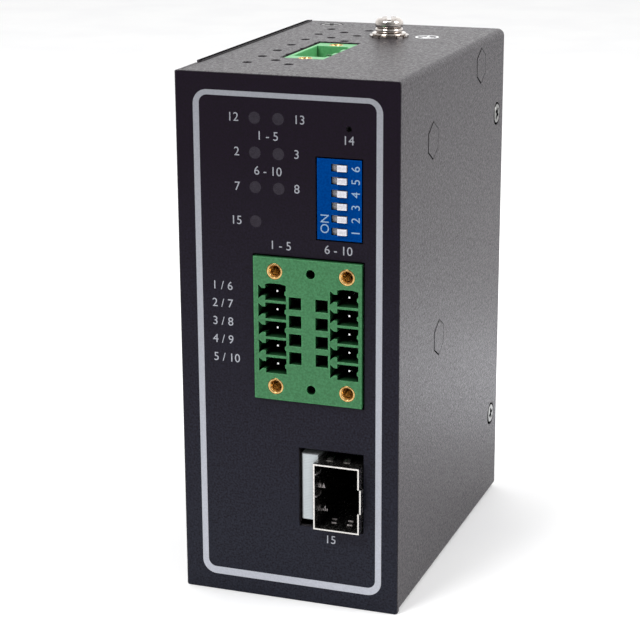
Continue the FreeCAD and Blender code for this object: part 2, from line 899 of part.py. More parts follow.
def make_front_board_link():
    """Pin strip in the corner between the front board and the main board."""
    start = front_board_depth + board
    y = (behind(start), behind(start + link_size))
    middle = below(sum(front_board_drops) / 2)
    return box((board_face - link_size, board_face), y, span(middle, link_pins * link_size))


def make_power_board():
    """Board that carries the power header and the supply parts."""
    x = (power_face, power_face + board)
    y = (behind(power_depth + power_board_reach[0]), behind(power_depth + power_board_reach[1]))
    blank = box(x, y, (below(power_board_drops[0]), below(power_board_drops[1])))
    cutters = []
    for depth in power_depths():
        pin_y = span(behind(depth), power_pin_width)
        pin_z = span(power_bottom - power_leg_drop, power_pin_width)
        cutters.append(box(x, pin_y, pin_z))
    cutters += [rod(board_hole, "x", power_point(at), x) for at in spacer_places]
    return blank.cut(cutters)


def make_board_spacers():
    """Hexagon spacers between the main board and the power board."""
    spacers = []
    for at in map(power_point, spacer_places):
        post = hexagon(spacer_flats, "x", at, (power_face + board, board_face))
        bore_ends = (power_face + board, power_face + board + blind_depth)
        spacers.append(post.cut(rod(standoff_bore, "x", at, bore_ends)))
    return Part.makeCompound(spacers)


def make_spacer_screws():
    """Pan-head screws that hold the power board to its spacers."""
    screws = []
    shank_end = power_face + board + blind_depth - screw_end_gap
    for at in map(power_point, spacer_places):
        head = rod(board_screw_head, "x", at, (power_face - board_screw_head_height, power_face))
        shank = rod(standoff_bore - thread_fit, "x", at, (power_face, shank_end))
        screws.append(head.fuse(shank))
    return Part.makeCompound(screws)


def make_power_board_link():
    """Stacking strip that joins the power board to the main board."""
    middle_depth = power_depth + sum(power_board_reach) / 2
    y = span(behind(middle_depth), 2 * link_size)
    bottom = below(power_board_drops[0]) + link_size
    return box((power_face + board, board_face), y, (bottom, bottom + link_pins * link_size))


def make_line_drivers():
    """Two serial line drivers on the main board."""
    return Part.makeCompound([chip(driver_size, board_point(at), board_face) for at in driver_places])


def make_capacitors():
    """Can capacitors that stand on the power board."""
    ends = (power_face - capacitor_height, power_face)
    return Part.makeCompound([rod(capacitor_radius, "x", power_point(at), ends) for at in capacitor_places])


def make_ground_screw():
    """Domed pan-head screw through the washers and the top wall."""
    at = (ground_x, behind(ground_depth))
    head_top = ground_head_seat + ground_head_height
    head = rod(ground_head_radius, "z", at, (ground_head_seat, head_top))
    rim = [edge for edge in head.Edges if abs(edge.CenterOfMass.z - head_top) < 1e-6]
    head = head.makeFillet(ground_head_edge, rim)
    return head.fuse(rod(ground_thread, "z", at, (top_inside - ground_reach, ground_head_seat)))


def make_tooth_washer():
    """Toothed washer that bites through the paint of the top wall."""
    at = (ground_x, behind(ground_depth))
    ends = (case_height, flat_washer_seat)
    washer = ring(tooth_washer_radius, ground_hole, "z", at, ends)
    notch_x = (at[0] + tooth_washer_radius - tooth_length, at[0] + 2 * tooth_washer_radius)
    notch = box(notch_x, span(at[1], tooth_gap), ends)
    notches = []
    for index in range(tooth_count):
        notch.rotate(place("z", at[0], at[1], 0), direction("z"), 360 / tooth_count)
        notches.append(notch.copy())
    return washer.cut(notches)


def make_flat_washer():
    """Plain washer on the toothed one."""
    at = (ground_x, behind(ground_depth))
    return ring(flat_washer_radius, ground_hole, "z", at, (flat_washer_seat, spring_washer_seat))


def make_spring_washer():
    """Split spring washer under the screw head."""
    at = (ground_x, behind(ground_depth))
    washer = ring(spring_washer_radius, ground_hole, "z", at, (spring_washer_seat, ground_head_seat))
    low = (at[0], at[0] + spring_washer_split)
    high = (low[0] + spring_washer_height, low[1] + spring_washer_height)
    corners = [(low[0], spring_washer_seat, 0), (low[1], spring_washer_seat, 0)]
    corners += [(high[1], ground_head_seat, 0), (high[0], ground_head_seat, 0)]
    split = prism(corners, "y", (at[1], at[1] + spring_washer_radius))
    return washer.cut(split)


def make_ground_nut():
    """Pressed-in nut under the top wall."""
    at = (ground_x, behind(ground_depth))
    ends = (top_inside - ground_nut_height, top_inside)
    return ring(ground_nut_radius, ground_thread + thread_fit, "z", at, ends)


def cover_screw(axis, at, ends):
    """Countersunk screw through a wall between two levels, into the rear cover."""
    head = taper((side_screw_head - sheet, side_screw_head), axis, at, ends)
    return head.fuse(rod(side_screw_thread, axis, at, (ends[0] - side_screw_tip, ends[0])))


def make_side_screws():
    """Countersunk screws through the right wall into the rear cover's flange."""
    return Part.makeCompound([cover_screw("x", at, (wall_inside, right)) for at in side_screw_places()])


def make_top_screw():
    """Countersunk screw through the top wall into the rear cover's tab."""
    return cover_screw("z", top_screw_place(), (top_inside, case_height))


def clip_screw_places():
    """Places of the screws that hold the rail clip."""
    levels = (rail_level - clip_screw_rise, rail_level + clip_screw_rise)
    return [(x, level) for x in (-clip_screw_x, clip_screw_x) for level in levels]


def make_din_bracket():
    """Folded bracket: back plate, two upper hooks, side guides for the latch and a spring tab."""
    hook_top = rail_top + rail_play + clip_sheet
    lip = clip_face + hook_gap
    outer_bend = clip_bend + clip_sheet
    corners = [(back, guide_top, 0), (back, hook_top, outer_bend), (lip + clip_sheet, hook_top, outer_bend)]
    corners += [(lip + clip_sheet, rail_top - hook_reach, 0), (lip, rail_top - hook_reach, 0)]
    corners += [(lip, hook_top - clip_sheet, clip_bend), (clip_face, hook_top - clip_sheet, clip_bend)]
    corners += [(clip_face, guide_top, 0)]
    upper = prism(corners, "x", (-clip_half_width, clip_half_width))
    gap_z = (rail_top - hook_reach, hook_top)
    upper = upper.cut(box((-hook_inner, hook_inner), (back, lip + clip_sheet), gap_z))
    inside = latch_half_width + latch_fit
    outside = inside + clip_sheet
    cover = clip_face + latch_thickness + 2 * latch_fit
    outer = cover + clip_sheet
    edge = inside - guide_lip
    guide = [(-outside, back, outer_bend), (outside, back, outer_bend), (outside, outer, outer_bend)]
    guide += [(edge, outer, 0), (edge, cover, 0), (inside, cover, clip_bend)]
    guide += [(inside, clip_face, clip_bend), (-inside, clip_face, clip_bend), (-inside, cover, clip_bend)]
    guide += [(-edge, cover, 0), (-edge, outer, 0), (-outside, outer, outer_bend)]
    lower = prism(guide, "z", (clip_low, guide_top))
    slot = box((-spring_half, spring_half), (back, clip_face), (spring_seat, spring_window_top))
    bracket = upper.fuse(lower).cut(slot)
    tab_y = (back, clip_face + latch_thickness)
    tab = box((-spring_tab_half, spring_tab_half), tab_y, (spring_seat - spring_tab, spring_seat))
    peg_y = span(clip_face + latch_thickness / 2, 2 * spring_peg_half)
    peg = box((-spring_peg_half, spring_peg_half), peg_y, (spring_seat, spring_seat + spring_peg))
    bracket = bracket.fuse([tab, peg])
    cutters = []
    for at in clip_screw_places():
        wide = clip_screw_head + sink_fit
        cutters.append(taper((wide - clip_sheet, wide), "y", at, (back, clip_face)))
    return bracket.cut(cutters).removeSplitter()


def make_din_latch():
    """Sliding latch with a sloped nose, a spring window and a slot for a screwdriver."""
    inner = clip_face + latch_fit
    outer = inner + latch_thickness
    shoulder = rail_bottom - rail_play
    body = box((-latch_half_width, latch_half_width), (inner, outer), (latch_low, guide_top))
    nose_inner = clip_face + rail_lip + rail_play
    nose_outer = nose_inner + clip_sheet
    tip = rail_bottom + latch_nose_grip
    corners = [(inner, guide_top, 0), (inner, shoulder, 0), (nose_inner, shoulder, 0), (nose_inner, tip, 0)]
    corners += [(nose_outer, tip - latch_nose_chamfer, 0), (nose_outer, tip - latch_nose_height, 0)]
    corners += [(outer, tip - latch_nose_height - latch_nose_slope, 0), (outer, guide_top, 0)]
    nose_half = latch_half_width - guide_lip
    nose = prism(corners, "x", (-nose_half, nose_half))
    window_z = (spring_seat - spring_window_drop, spring_window_top)
    window = box((-spring_half, spring_half), (inner, outer), window_z)
    pull_z = span(latch_low + pull_slot_rise, pull_slot_height)
    pull = box((-pull_slot_half, pull_slot_half), (inner, outer), pull_z)
    pull_half = latch_half_width + latch_shoulder
    shoulders = box((-pull_half, pull_half), (inner, outer), (latch_low, clip_low - latch_fit))
    latch = body.fuse([nose, shoulders]).cut([window, pull])
    peg_y = span(clip_face + latch_thickness / 2 + latch_fit, 2 * spring_peg_half)
    peg = box((-spring_peg_half, spring_peg_half), peg_y, (spring_window_top - spring_peg, spring_window_top))
    return latch.fuse(peg).removeSplitter()


def make_din_spring():
    """Coil spring that stands on the bracket's tab and pushes the latch up."""
    length = spring_window_top - spring_seat - spring_wire - 2 * latch_fit
    centre = V(0, clip_face + latch_thickness / 2 + latch_fit, spring_seat + spring_wire / 2 + latch_fit)
    coil = Part.makeHelix(length / spring_turns, length, spring_radius)
    corners = []
    wire = spring_wire / 2
    for index in range(spring_sides + 1):
        angle = 2 * math.pi * index / spring_sides
        corners.append(V(spring_radius + wire * math.cos(angle), 0, wire * math.sin(angle)))
    spring = Part.Wire(coil).makePipeShell([Part.makePolygon(corners)], True, True)
    spring.translate(centre)
    return spring


def make_din_screws():
    """Countersunk screws that hold the bracket to the back wall."""
    screws = []
    for at in clip_screw_places():
        head = taper((clip_screw_shank, clip_screw_head), "y", at, (back, clip_face))
        shank = rod(clip_screw_shank, "y", at, (back - clip_screw_tip, back))
        screws.append(head.fuse(shank).removeSplitter())
    return Part.makeCompound(screws)


def make_din_nuts():
    """Pressed-in nuts in the back wall."""
    nuts = []
    for at in clip_screw_places():
        ends = (back - sheet - clip_nut_height, back)
        nuts.append(ring(clip_nut_radius, clip_screw_shank + thread_fit, "y", at, ends))
    return Part.makeCompound(nuts)


def make_parts():
    """Every named piece of the part."""
    parts = {
        "chassis": make_chassis(),
        "front_panel": make_front_panel(),
        "front_label": make_front_label(),
        "rear_cover": make_rear_cover(),
        "serial_header": make_serial_header(),
        "serial_pins": make_serial_pins(),
        "serial_inserts": make_serial_inserts(),
        "power_header": make_power_header(),
        "power_pins": make_power_pins(),
        "power_inserts": make_power_inserts(),
        "switch_cover": make_switch_cover(),
        "switch_base": make_switch_base(),
        "reset_switch": make_reset_switch(),
        "reset_plunger": make_reset_plunger(),
        "lamps": make_lamps(),
        "network_cage": make_network_cage(),
        "cage_gasket": make_cage_gasket(),
        "network_connector": make_network_connector(),
        "main_board": make_main_board(),
        "standoffs": make_standoffs(),
        "board_screws": make_board_screws(),
        "front_board": make_front_board(),
        "front_board_link": make_front_board_link(),
        "power_board": make_power_board(),
        "board_spacers": make_board_spacers(),
        "spacer_screws": make_spacer_screws(),
        "power_board_link": make_power_board_link(),
        "processor": chip(processor_size, board_point(processor_place), board_face),
        "memory_chip": chip(memory_size, board_point(memory_place), board_face),
        "network_chip": chip(network_chip_size, board_point(network_chip_place), board_face),
        "line_drivers": make_line_drivers(),
        "crystal": chip(crystal_size, board_point(crystal_place), board_face),
        "transformer": chip(transformer_size, power_point(transformer_place), power_face),
        "inductor": chip(inductor_size, power_point(inductor_place), power_face),
        "capacitors": make_capacitors(),
        "ground_screw": make_ground_screw(),
        "tooth_washer": make_tooth_washer(),
        "flat_washer": make_flat_washer(),
        "spring_washer": make_spring_washer(),
        "ground_nut": make_ground_nut(),
        "side_screws": make_side_screws(),
        "top_screw": make_top_screw(),
        "din_bracket": make_din_bracket(),
        "din_latch": make_din_latch(),
        "din_spring": make_din_spring(),
        "din_screws": make_din_screws(),
        "din_nuts": make_din_nuts(),
    }
    for number, level in enumerate(lever_levels(), start=1):
        parts["switch_lever_" + str(number)] = make_switch_lever(level)
    return parts


os.makedirs("parts", exist_ok=True)
for name, shape in make_parts().items():
    shape.exportStep("parts/" + name + ".step")
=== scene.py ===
import json
import math

import bmesh
import bpy
from mathutils import Matrix, Vector


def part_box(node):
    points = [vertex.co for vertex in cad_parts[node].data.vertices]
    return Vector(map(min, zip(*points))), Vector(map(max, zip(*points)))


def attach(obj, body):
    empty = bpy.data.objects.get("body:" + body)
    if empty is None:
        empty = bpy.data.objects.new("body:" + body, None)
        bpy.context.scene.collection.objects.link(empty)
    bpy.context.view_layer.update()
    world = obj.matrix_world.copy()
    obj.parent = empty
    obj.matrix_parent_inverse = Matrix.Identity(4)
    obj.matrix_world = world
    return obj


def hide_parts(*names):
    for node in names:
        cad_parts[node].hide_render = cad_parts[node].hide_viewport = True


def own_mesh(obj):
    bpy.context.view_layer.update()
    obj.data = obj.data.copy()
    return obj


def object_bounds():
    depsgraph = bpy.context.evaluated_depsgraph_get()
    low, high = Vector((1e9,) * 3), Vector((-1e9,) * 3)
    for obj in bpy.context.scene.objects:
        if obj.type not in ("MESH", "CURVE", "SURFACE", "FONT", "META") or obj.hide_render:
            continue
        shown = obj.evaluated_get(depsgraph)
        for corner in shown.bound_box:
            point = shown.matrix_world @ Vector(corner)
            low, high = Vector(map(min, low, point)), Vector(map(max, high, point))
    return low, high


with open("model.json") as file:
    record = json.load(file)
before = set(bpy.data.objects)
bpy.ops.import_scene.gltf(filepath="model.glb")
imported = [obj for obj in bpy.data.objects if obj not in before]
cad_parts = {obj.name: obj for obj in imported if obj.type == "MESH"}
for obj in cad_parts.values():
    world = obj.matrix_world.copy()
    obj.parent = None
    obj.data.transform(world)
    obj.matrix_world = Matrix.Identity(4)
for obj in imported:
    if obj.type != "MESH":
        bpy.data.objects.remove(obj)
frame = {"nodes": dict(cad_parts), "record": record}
cad_low, cad_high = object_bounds()

# Units and the main planes, in metres
mm = 0.001
film_low, film_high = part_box("front_label")
film_face = film_low.y
side_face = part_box("chassis")[1].x
top_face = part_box("chassis")[1].z
ink = 0.015 * mm
print_lift = 0.01 * mm

# The printed frame line on the front film: its outer edges, and its width at the sides, top and bottom
line_left = -19.5 * mm
line_right = 20.0 * mm
line_bottom = 3.55 * mm
line_top = 106.55 * mm
line_side = 1.3 * mm
line_head = 1.05 * mm
line_foot = 1.6 * mm
line_corner = 3.0 * mm

# Smoked lamp windows in the film: columns, upper row, step between rows
window_columns = (-6.45 * mm, -1.5 * mm)
window_top = 101.45 * mm
window_step = 6.92 * mm
window_rows = 4
window_radius = 1.22 * mm
window_steps = 32

# Plain numbers on the film, which count the poles and the lamps: text, middle of the text in X and Z
number_height = 2.5 * mm
panel_numbers = (
    ("12", -11.0, 101.35), ("13", 2.9, 101.45), ("1 - 5", -3.75, 97.9),
    ("2", -10.3, 94.5), ("3", 2.3, 94.6), ("6 - 10", -3.75, 90.9),
    ("7", -10.3, 87.5), ("8", 2.3, 87.7), ("15", -10.6, 80.6),
    ("14", 13.0, 98.0), ("1 - 5", -1.25, 76.05), ("6 - 10", 10.9, 76.0),
    ("1 / 6", -13.9, 66.8), ("2 / 7", -13.9, 63.1), ("3 / 8", -13.9, 59.3),
    ("4 / 9", -13.9, 55.5), ("5 / 10", -13.2, 51.65), ("15", 9.05, 14.6),
)

# Marks on the slide switch, turned a quarter round
switch_ways = sum(name.startswith("switch_lever_") for name in frame["nodes"])
switch_mark_height = 2.5 * mm
switch_number_x = 14.55 * mm
switch_on_place = (8.15 * mm, 81.3 * mm)

# Earth sign on the top wall: its ring, then the ends of its stem, and the reach and drop of its bars, as shares of
# the ring's radius
earth_place = (10.8 * mm, 20.4 * mm)
earth_radius = 2.6 * mm
earth_line = 0.46 * mm
earth_steps = 48
earth_stem = (0.05, 0.72)
earth_bars = ((0.62, 0.05), (0.42, 0.3), (0.2, 0.55))

# Crossed recess of a screw: reach, half width and depth as shares of the head's radius, how far the cutter stands
# over the head as a share of the depth, the shares of the reach at its mouth and its foot, and its width's taper
recess_share = 0.62
recess_wing = 0.17
recess_depth = 0.55
recess_over = 0.2
recess_mouth = 1.06
recess_foot = 0.55
recess_taper = 0.4

# Thread: shares of the pitch along it, and of the depth cut away there
thread_form = ((0.1, 1.0), (0.5, 0.0), (0.9, 1.0))

# Countersunk screws: inset and drop of the head's eased rim, depth of the thread as a share of its pitch, then the
# sizes of the case's and the clip's screws, and how each is turned
rim_inset = (0.26 * mm, 0.4 * mm)
rim_drop = 0.16 * mm
sunk_thread_depth = 0.4
case_screw = {"shank": 1.42 * mm, "sink": 1.0 * mm, "thread": 0.5 * mm}
clip_screw = {"shank": 1.22 * mm, "sink": 1.5 * mm, "thread": 0.45 * mm}
clip_head = 2.75 * mm
side_screw_turns = (20, 55)
top_screw_turn = 18
clip_turn_rate = 90  # radians for each millimetre that a screw stands off the middle

# Ground screw: its slot and recess, its shank, then the rounding under its head and the form of the dome
ground_recess = 0.5
ground_recess_depth = 0.6
ground_slot_turn = 108.0
ground_slot = 0.45 * mm
ground_slot_depth = 0.75 * mm
ground_shank = 1.72 * mm
ground_thread = 0.6 * mm
head_under = 0.5 * mm
under_steps = 6
head_flat = 0.3
head_square = 0.72
dome_steps = 12

# Width of the strip of painted shade on top of the rear cover's sheet
cover_shade_strip = 0.9 * mm

# Lines of painted shadow along the standoffs' heads, and how far apart the heads are at least
shadow_line_width = 0.28 * mm
standoff_head_apart = 12.0 * mm

# Gap beside the side screws' heads, and the level of the dark disc of painted shade seen in it
sink_gap = 0.3 * mm
sink_shade_level = 0.12 * mm

# Washers under the ground screw
washer_bore = 1.9 * mm
washer_split = 0.7 * mm
washer_steps = 8
weld = 0.001 * mm

# Points round the large and the small turned pieces, and the angle from which an edge stays crisp
fine_steps = 64
bush_steps = 40
crease = 35.0

# Brass bushes
serial_bush = 1.7 * mm
bush_bore = 1.05 * mm
bush_depth = 5.0 * mm
bush_mouth = 0.3 * mm
bush_thread = 0.45 * mm
bush_thread_depth = 0.3
bush_rim_steps = 5

# Springs in the cage and fingers on it, in millimetres: ends along the depth, and places across it
cage_wall = 0.3
leaf_ends = (-40.6, -37.5)
leaf_levels = (24.5, 29.3)
leaf_width = 0.3
leaf_rise = 0.2
finger_ends = (-38.6, -34.0)
finger_places = (8.9, 12.5)
finger_width = 1.3
finger_rise = 0.6
tab_size = (1.1, 0.1, 0.16)
floor_tabs = ((8.8, -35.4), (9.3, -37.3), (12.3, -35.4), (12.8, -37.5))
barb_place = (-36.7, 25.6)
barb_size = (0.75, 1.1)
stroke_place = (-36.5, 20.5)
stroke_heights = (0.5, 1.1, 0.5)
stroke_width = 0.2
stroke_step = 0.42
strip_thickness = 0.12

# Spring of the rail latch
spring_wire = 0.5 * mm
spring_turns = 6

# Light: greys of the surroundings in front, beside and behind, their share overhead and the levels between which
# they fall to it, then soft lights in metres and watts
sky_greys = (0.10, 0.66, 1.0)
sky_strength = 1.5
ceiling_share = 0.9
ceiling_levels = (0.45, 0.8)
key_place = (-0.30, -0.55, 0.80)
key_size = 0.4
key_power = 6.6
fill_place = (0.42, 0.02, 0.40)
fill_size = 0.25
fill_power = 1.5

# Pool of light on the floor behind the right wall, which that wall mirrors, and the floor's reach
pool_place = (0.75, 0.95, 1.45)
pool_target = (0.062, 0.125, 0.0)
pool_cone = 3.9
pool_power = 225.0
pool_colour = (0.92, 0.95, 1.0)
pool_softness = 0.02
floor_reach = 6.0

# Camera that stands where the photograph was taken from
camera_place = Vector((131.32, -381.94, 169.13)) * mm
camera_right = Vector((0.94065, 0.33934, -0.00460))
camera_forward = Vector((-0.32673, 0.90185, -0.28270))
camera_lens = 107.63
camera_sensor = 36.0
camera_near = 0.01

# Textures: repeat and wobble of waves, darkest painted shade and its end in cavities, spread of painted highlight on
# edges, quality of eased edges and fine grain
wave_repeat = 3.2
wave_wobble = 0.4
hollow_shade_darkest = 0.02
hollow_shade_end = 0.85
edge_highlight_spread = (0.5, 0.95)
ease_samples = 4
fine_detail = 3.0

# Paint of the case. Here and below, grains, relief and easing are in millimetres, and gloss is a range of roughness
paint_shine = 0.14
paint_tint = (0.97, 0.84, 0.98, 1.0)
paint_grain = 0.38
paint_colours = ((0.0135, 0.0122, 0.0136), (0.060, 0.0545, 0.0605))
paint_spread = (0.36, 0.66)
paint_patch = 0.6
paint_gloss = (0.28, 0.44)
paint_relief = 0.12
paint_bump = 0.9
paint_ease = 0.25

# Front film, with the share of its colour that painted shade leaves at its head
film_shine = 0.15
film_tint = (0.92, 0.76, 0.94, 1.0)
film_grain = 0.4
film_colours = ((0.0024, 0.0030, 0.0048), (0.0170, 0.0215, 0.0320))
film_spread = (0.3, 0.7)
film_head_shade = (0.22, 0.05, 0.20)
film_shade_spread = (0.1, 0.85)
film_gloss = (0.42, 0.52)
film_relief = 0.01
film_bump = 0.4

# Lamp windows
window_shine = 0.25
window_tint = (0.95, 0.82, 1.0, 1.0)
window_grain = 0.6
window_colours = ((0.006, 0.005, 0.008), (0.011, 0.010, 0.014))
window_patch = 0.3
window_gloss = (0.18, 0.28)

# Inks: colour, and the share of it that painted shade leaves at the film's head
inks = {
    # head: painted shade on the pale ink towards the film's head, as on the film itself
    "pale_ink": {"colour": (0.464, 0.479, 0.537), "head": 0.47},
    "white_ink": {"colour": (0.86, 0.86, 0.87)},
    "switch_ink": {"colour": (0.21, 0.32, 0.46)},
}
ink_thin = 0.88
ink_grain = 0.35
ink_patch = 0.2
ink_gloss = (0.5, 0.62)

# Moulded finishes: dark and light colour, then what differs from the usual moulding
mouldings = {
    "header_green": {"dark": (0.024, 0.155, 0.048), "light": (0.048, 0.232, 0.086), "shine": 0.35},
    # Brighter copy of the header green with less shade in its hollows: painted light on the power header's lit walls
    "socket_green": {"dark": (0.11, 0.44, 0.16), "light": (0.15, 0.54, 0.21), "shine": 0.35, "hollow_shade_reach": 0.8},
    "switch_blue": {"dark": (0.0, 0.041, 0.218), "light": (0.0, 0.057, 0.280), "shine": 0.0},
    "lever_white": {"dark": (0.62, 0.61, 0.66), "light": (0.78, 0.77, 0.83), "hollow_shade_reach": 1.6},
    "dark_moulding": {"dark": (0.010, 0.010, 0.011), "light": (0.020, 0.020, 0.021)},
    "shadow_gap": {"dark": (0.002, 0.002, 0.002), "light": (0.006, 0.006, 0.006),
                   "gloss": (0.7, 0.8), "shine": 0.0},
    "lamp_lens": {"dark": (0.40, 0.42, 0.38), "light": (0.55, 0.57, 0.52), "gloss": (0.08, 0.16)},
    "ferrite_grey": {"dark": (0.06, 0.06, 0.065), "light": (0.11, 0.11, 0.115),
                     "gloss": (0.6, 0.75), "relief": 0.03},
}
skin_grain = 0.16
mottle_grain = 0.4
moulding_hollow_shade_start = 0.12
# Painted highlight on moulded edges: its reach, and the share of colour left on the flat
moulding_edge_highlight = (0.4, 0.74)
moulding_bump = 0.5
moulding_ease = 0.2

# Metal finishes: dark and light colour, gloss, then what differs from the usual metal
metals = {
    "contact_tin": {"dark": (0.60, 0.60, 0.60), "light": (0.74, 0.74, 0.74), "gloss": (0.18, 0.3)},
    "insert_brass": {"dark": (0.44, 0.26, 0.09), "light": (0.70, 0.47, 0.20), "gloss": (0.2, 0.34), "hollow_shade_reach": 0.9},
    "cage_plate": {"dark": (0.54, 0.52, 0.50), "light": (0.72, 0.70, 0.67), "gloss": (0.2, 0.32),
                   "stretch": (1, 0.3, 1), "size": 0.25, "hollow_shade_reach": 12.0},
    "plated_steel": {"dark": (0.46, 0.42, 0.39), "light": (0.62, 0.575, 0.54), "gloss": (0.1, 0.2)},
    "clip_zinc": {"dark": (0.34, 0.345, 0.35), "light": (0.48, 0.485, 0.49), "gloss": (0.3, 0.45),
                  "stretch": (1, 1, 0.15)},
    "spring_wire": {"dark": (0.42, 0.42, 0.42), "light": (0.6, 0.6, 0.6), "gloss": (0.22, 0.34)},
    "can_aluminium": {"dark": (0.66, 0.67, 0.68), "light": (0.8, 0.81, 0.82), "gloss": (0.26, 0.38),
                      "stretch": (0.15, 1, 1)},
    "dark_steel": {"dark": (0.09, 0.09, 0.09), "light": (0.16, 0.155, 0.16), "gloss": (0.3, 0.42), "hollow_shade_reach": 1.5},
    "leaf_steel": {"dark": (0.50, 0.47, 0.48), "light": (0.70, 0.66, 0.66), "gloss": (0.4, 0.55)},
    "dull_steel": {"dark": (0.15, 0.15, 0.15), "light": (0.26, 0.26, 0.25), "gloss": (0.3, 0.42), "hollow_shade_reach": 1.5},
}
metal_hollow_shade_start = 0.08
metal_bump = 0.4

# Conductive cloth of the gasket
cloth_sheen = 0.3
cloth_pitch = 0.34
cloth_colours = ((0.34, 0.385, 0.40), (0.50, 0.54, 0.56))
cloth_hollow_shade_reach = 3.0
cloth_hollow_shade_start = 0.3
cloth_grain = 0.4
cloth_gloss = (0.55, 0.75)
cloth_relief = 0.05
cloth_bump = 0.6

# Boards
track_pitch = 1.3
track_patch = 3.0
board_colours = ((0.010, 0.085, 0.030), (0.022, 0.150, 0.060))
board_grain = 0.6
board_gloss = (0.28, 0.4)
board_relief = 0.03
board_bump = 0.5

# Floor
floor_grain = 40.0
floor_colours = ((0.93, 0.93, 0.935), (0.96, 0.96, 0.96))
floor_patch = 8.0
floor_gloss = (0.75, 0.85)


class Surface:
    """A material in the making, with short calls for the nodes that it needs."""

    def __init__(self, name):
        self.material = bpy.data.materials.new(name)
        self.material.use_nodes = True
        self.tree = self.material.node_tree
        self.shader = self.tree.nodes["Principled BSDF"]
        self.place = self.tree.nodes.new("ShaderNodeTexCoord").outputs["Object"]

    def link(self, source, target):
        self.tree.links.new(source, target)

    def set(self, **values):
        """Sets constants on the shader's own sockets."""
        for name, value in values.items():
            self.shader.inputs[name.replace("_", " ")].default_value = value
        return self

    def stretched(self, stretch):
        """Object coordinates, in millimetres, drawn out along the axes."""
        node = self.tree.nodes.new("ShaderNodeMapping")
        node.inputs["Scale"].default_value = [s / mm for s in stretch]
        self.link(self.place, node.inputs["Vector"])
        return node.outputs["Vector"]

    def noise(self, size, detail=2.0, stretch=(1, 1, 1)):
        """Noise with grains of a size in millimetres."""
        node = self.tree.nodes.new("ShaderNodeTexNoise")
        node.inputs["Scale"].default_value = 1 / size
        node.inputs["Detail"].default_value = detail
        self.link(self.stretched(stretch), node.inputs["Vector"])
        return node.outputs["Fac"]

    def waves(self, pitch, axis):
        """Bands of a pitch in millimetres across an axis."""
        node = self.tree.nodes.new("ShaderNodeTexWave")
        node.bands_direction = axis
        node.inputs["Scale"].default_value = 1 / (pitch * wave_repeat)
        node.inputs["Distortion"].default_value = wave_wobble
        self.link(self.stretched((1, 1, 1)), node.inputs["Vector"])
        return node.outputs["Fac"]

    def height(self, low, high):
        """Height of a point, from zero at a low level to one at a high level."""
        shift = self.tree.nodes.new("ShaderNodeMapping")
        shift.inputs["Location"].default_value = (0, 0, -low / (high - low))
        shift.inputs["Scale"].default_value = [1 / (high - low)] * 3
        self.link(self.place, shift.inputs["Vector"])
        split = self.tree.nodes.new("ShaderNodeSeparateXYZ")
        self.link(shift.outputs["Vector"], split.inputs["Vector"])
        return split.outputs["Z"]

    def mixed(self, first, second, how, share=1.0):
        """Two values joined by an operation."""
        node = self.tree.nodes.new("ShaderNodeMix")
        node.blend_type = how
        node.data_type = "RGBA"
        node.inputs["Factor"].default_value = share
        self.link(first, node.inputs["A"])
        self.link(second, node.inputs["B"])
        return node.outputs["Result"]

    def ramp(self, source, low, high, start=0.35, end=0.65):
        """A value turned into a range between two colours or two numbers."""
        node = self.tree.nodes.new("ShaderNodeValToRGB")
        for element, place, value in zip(node.color_ramp.elements, (start, end), (low, high)):
            colour = value if isinstance(value, tuple) else (value, value, value)
            element.position = place
            element.color = (*colour, 1.0)
        self.link(source, node.inputs["Fac"])
        return node.outputs["Color"]

    def colour(self, source, low, high, *spread):
        self.link(self.ramp(source, low, high, *spread), self.shader.inputs["Base Color"])

    def sunken(self, source, low, high, reach, start):
        """A range of colours darkened by painted shade in cavities narrower than a reach in millimetres."""
        node = self.tree.nodes.new("ShaderNodeAmbientOcclusion")
        node.inputs["Distance"].default_value = reach * mm
        # Painted shade: darker where ambient occlusion finds walls close by
        depth = self.ramp(node.outputs["AO"], hollow_shade_darkest, 1.0, start, hollow_shade_end)
        hollow_shaded = self.mixed(self.ramp(source, low, high), depth, "MULTIPLY")
        self.link(hollow_shaded, self.shader.inputs["Base Color"])

    def edged(self, reach, flat):
        """Painted highlight: makes the colour lighter within a reach in millimetres of outer edges than on the flat.
        """
        node = self.tree.nodes.new("ShaderNodeAmbientOcclusion")
        node.inside = True
        node.inputs["Distance"].default_value = reach * mm
        shade = self.ramp(node.outputs["AO"], 1.0, flat, *edge_highlight_spread)
        base = self.shader.inputs["Base Color"]
        self.link(self.mixed(base.links[0].from_socket, shade, "MULTIPLY"), base)

    def rough(self, source, low, high):
        self.link(self.ramp(source, low, high), self.shader.inputs["Roughness"])

    def eased(self, radius):
        """Normals that round the edges by a radius in millimetres."""
        node = self.tree.nodes.new("ShaderNodeBevel")
        node.samples = ease_samples
        node.inputs["Radius"].default_value = radius * mm
        return node.outputs["Normal"]

    def bump(self, source, height, strength, edge=0.0):
        """Relief of a height in millimetres, over edges eased by a radius."""
        node = self.tree.nodes.new("ShaderNodeBump")
        if edge > 0:
            self.link(self.eased(edge), node.inputs["Normal"])
        node.inputs["Distance"].default_value = height * mm
        node.inputs["Strength"].default_value = strength
        self.link(source, node.inputs["Height"])
        self.link(node.outputs["Normal"], self.shader.inputs["Normal"])


def powder_coat():
    """Dark grey paint with a fine grain and a soft gloss."""
    surface = Surface("powder_coat").set(Specular_IOR_Level=paint_shine, Specular_Tint=paint_tint)
    grain = surface.noise(paint_grain, fine_detail)
    surface.colour(grain, *paint_colours, *paint_spread)
    surface.rough(surface.noise(paint_patch), *paint_gloss)
    surface.bump(grain, paint_relief, paint_bump, paint_ease)
    return surface.material


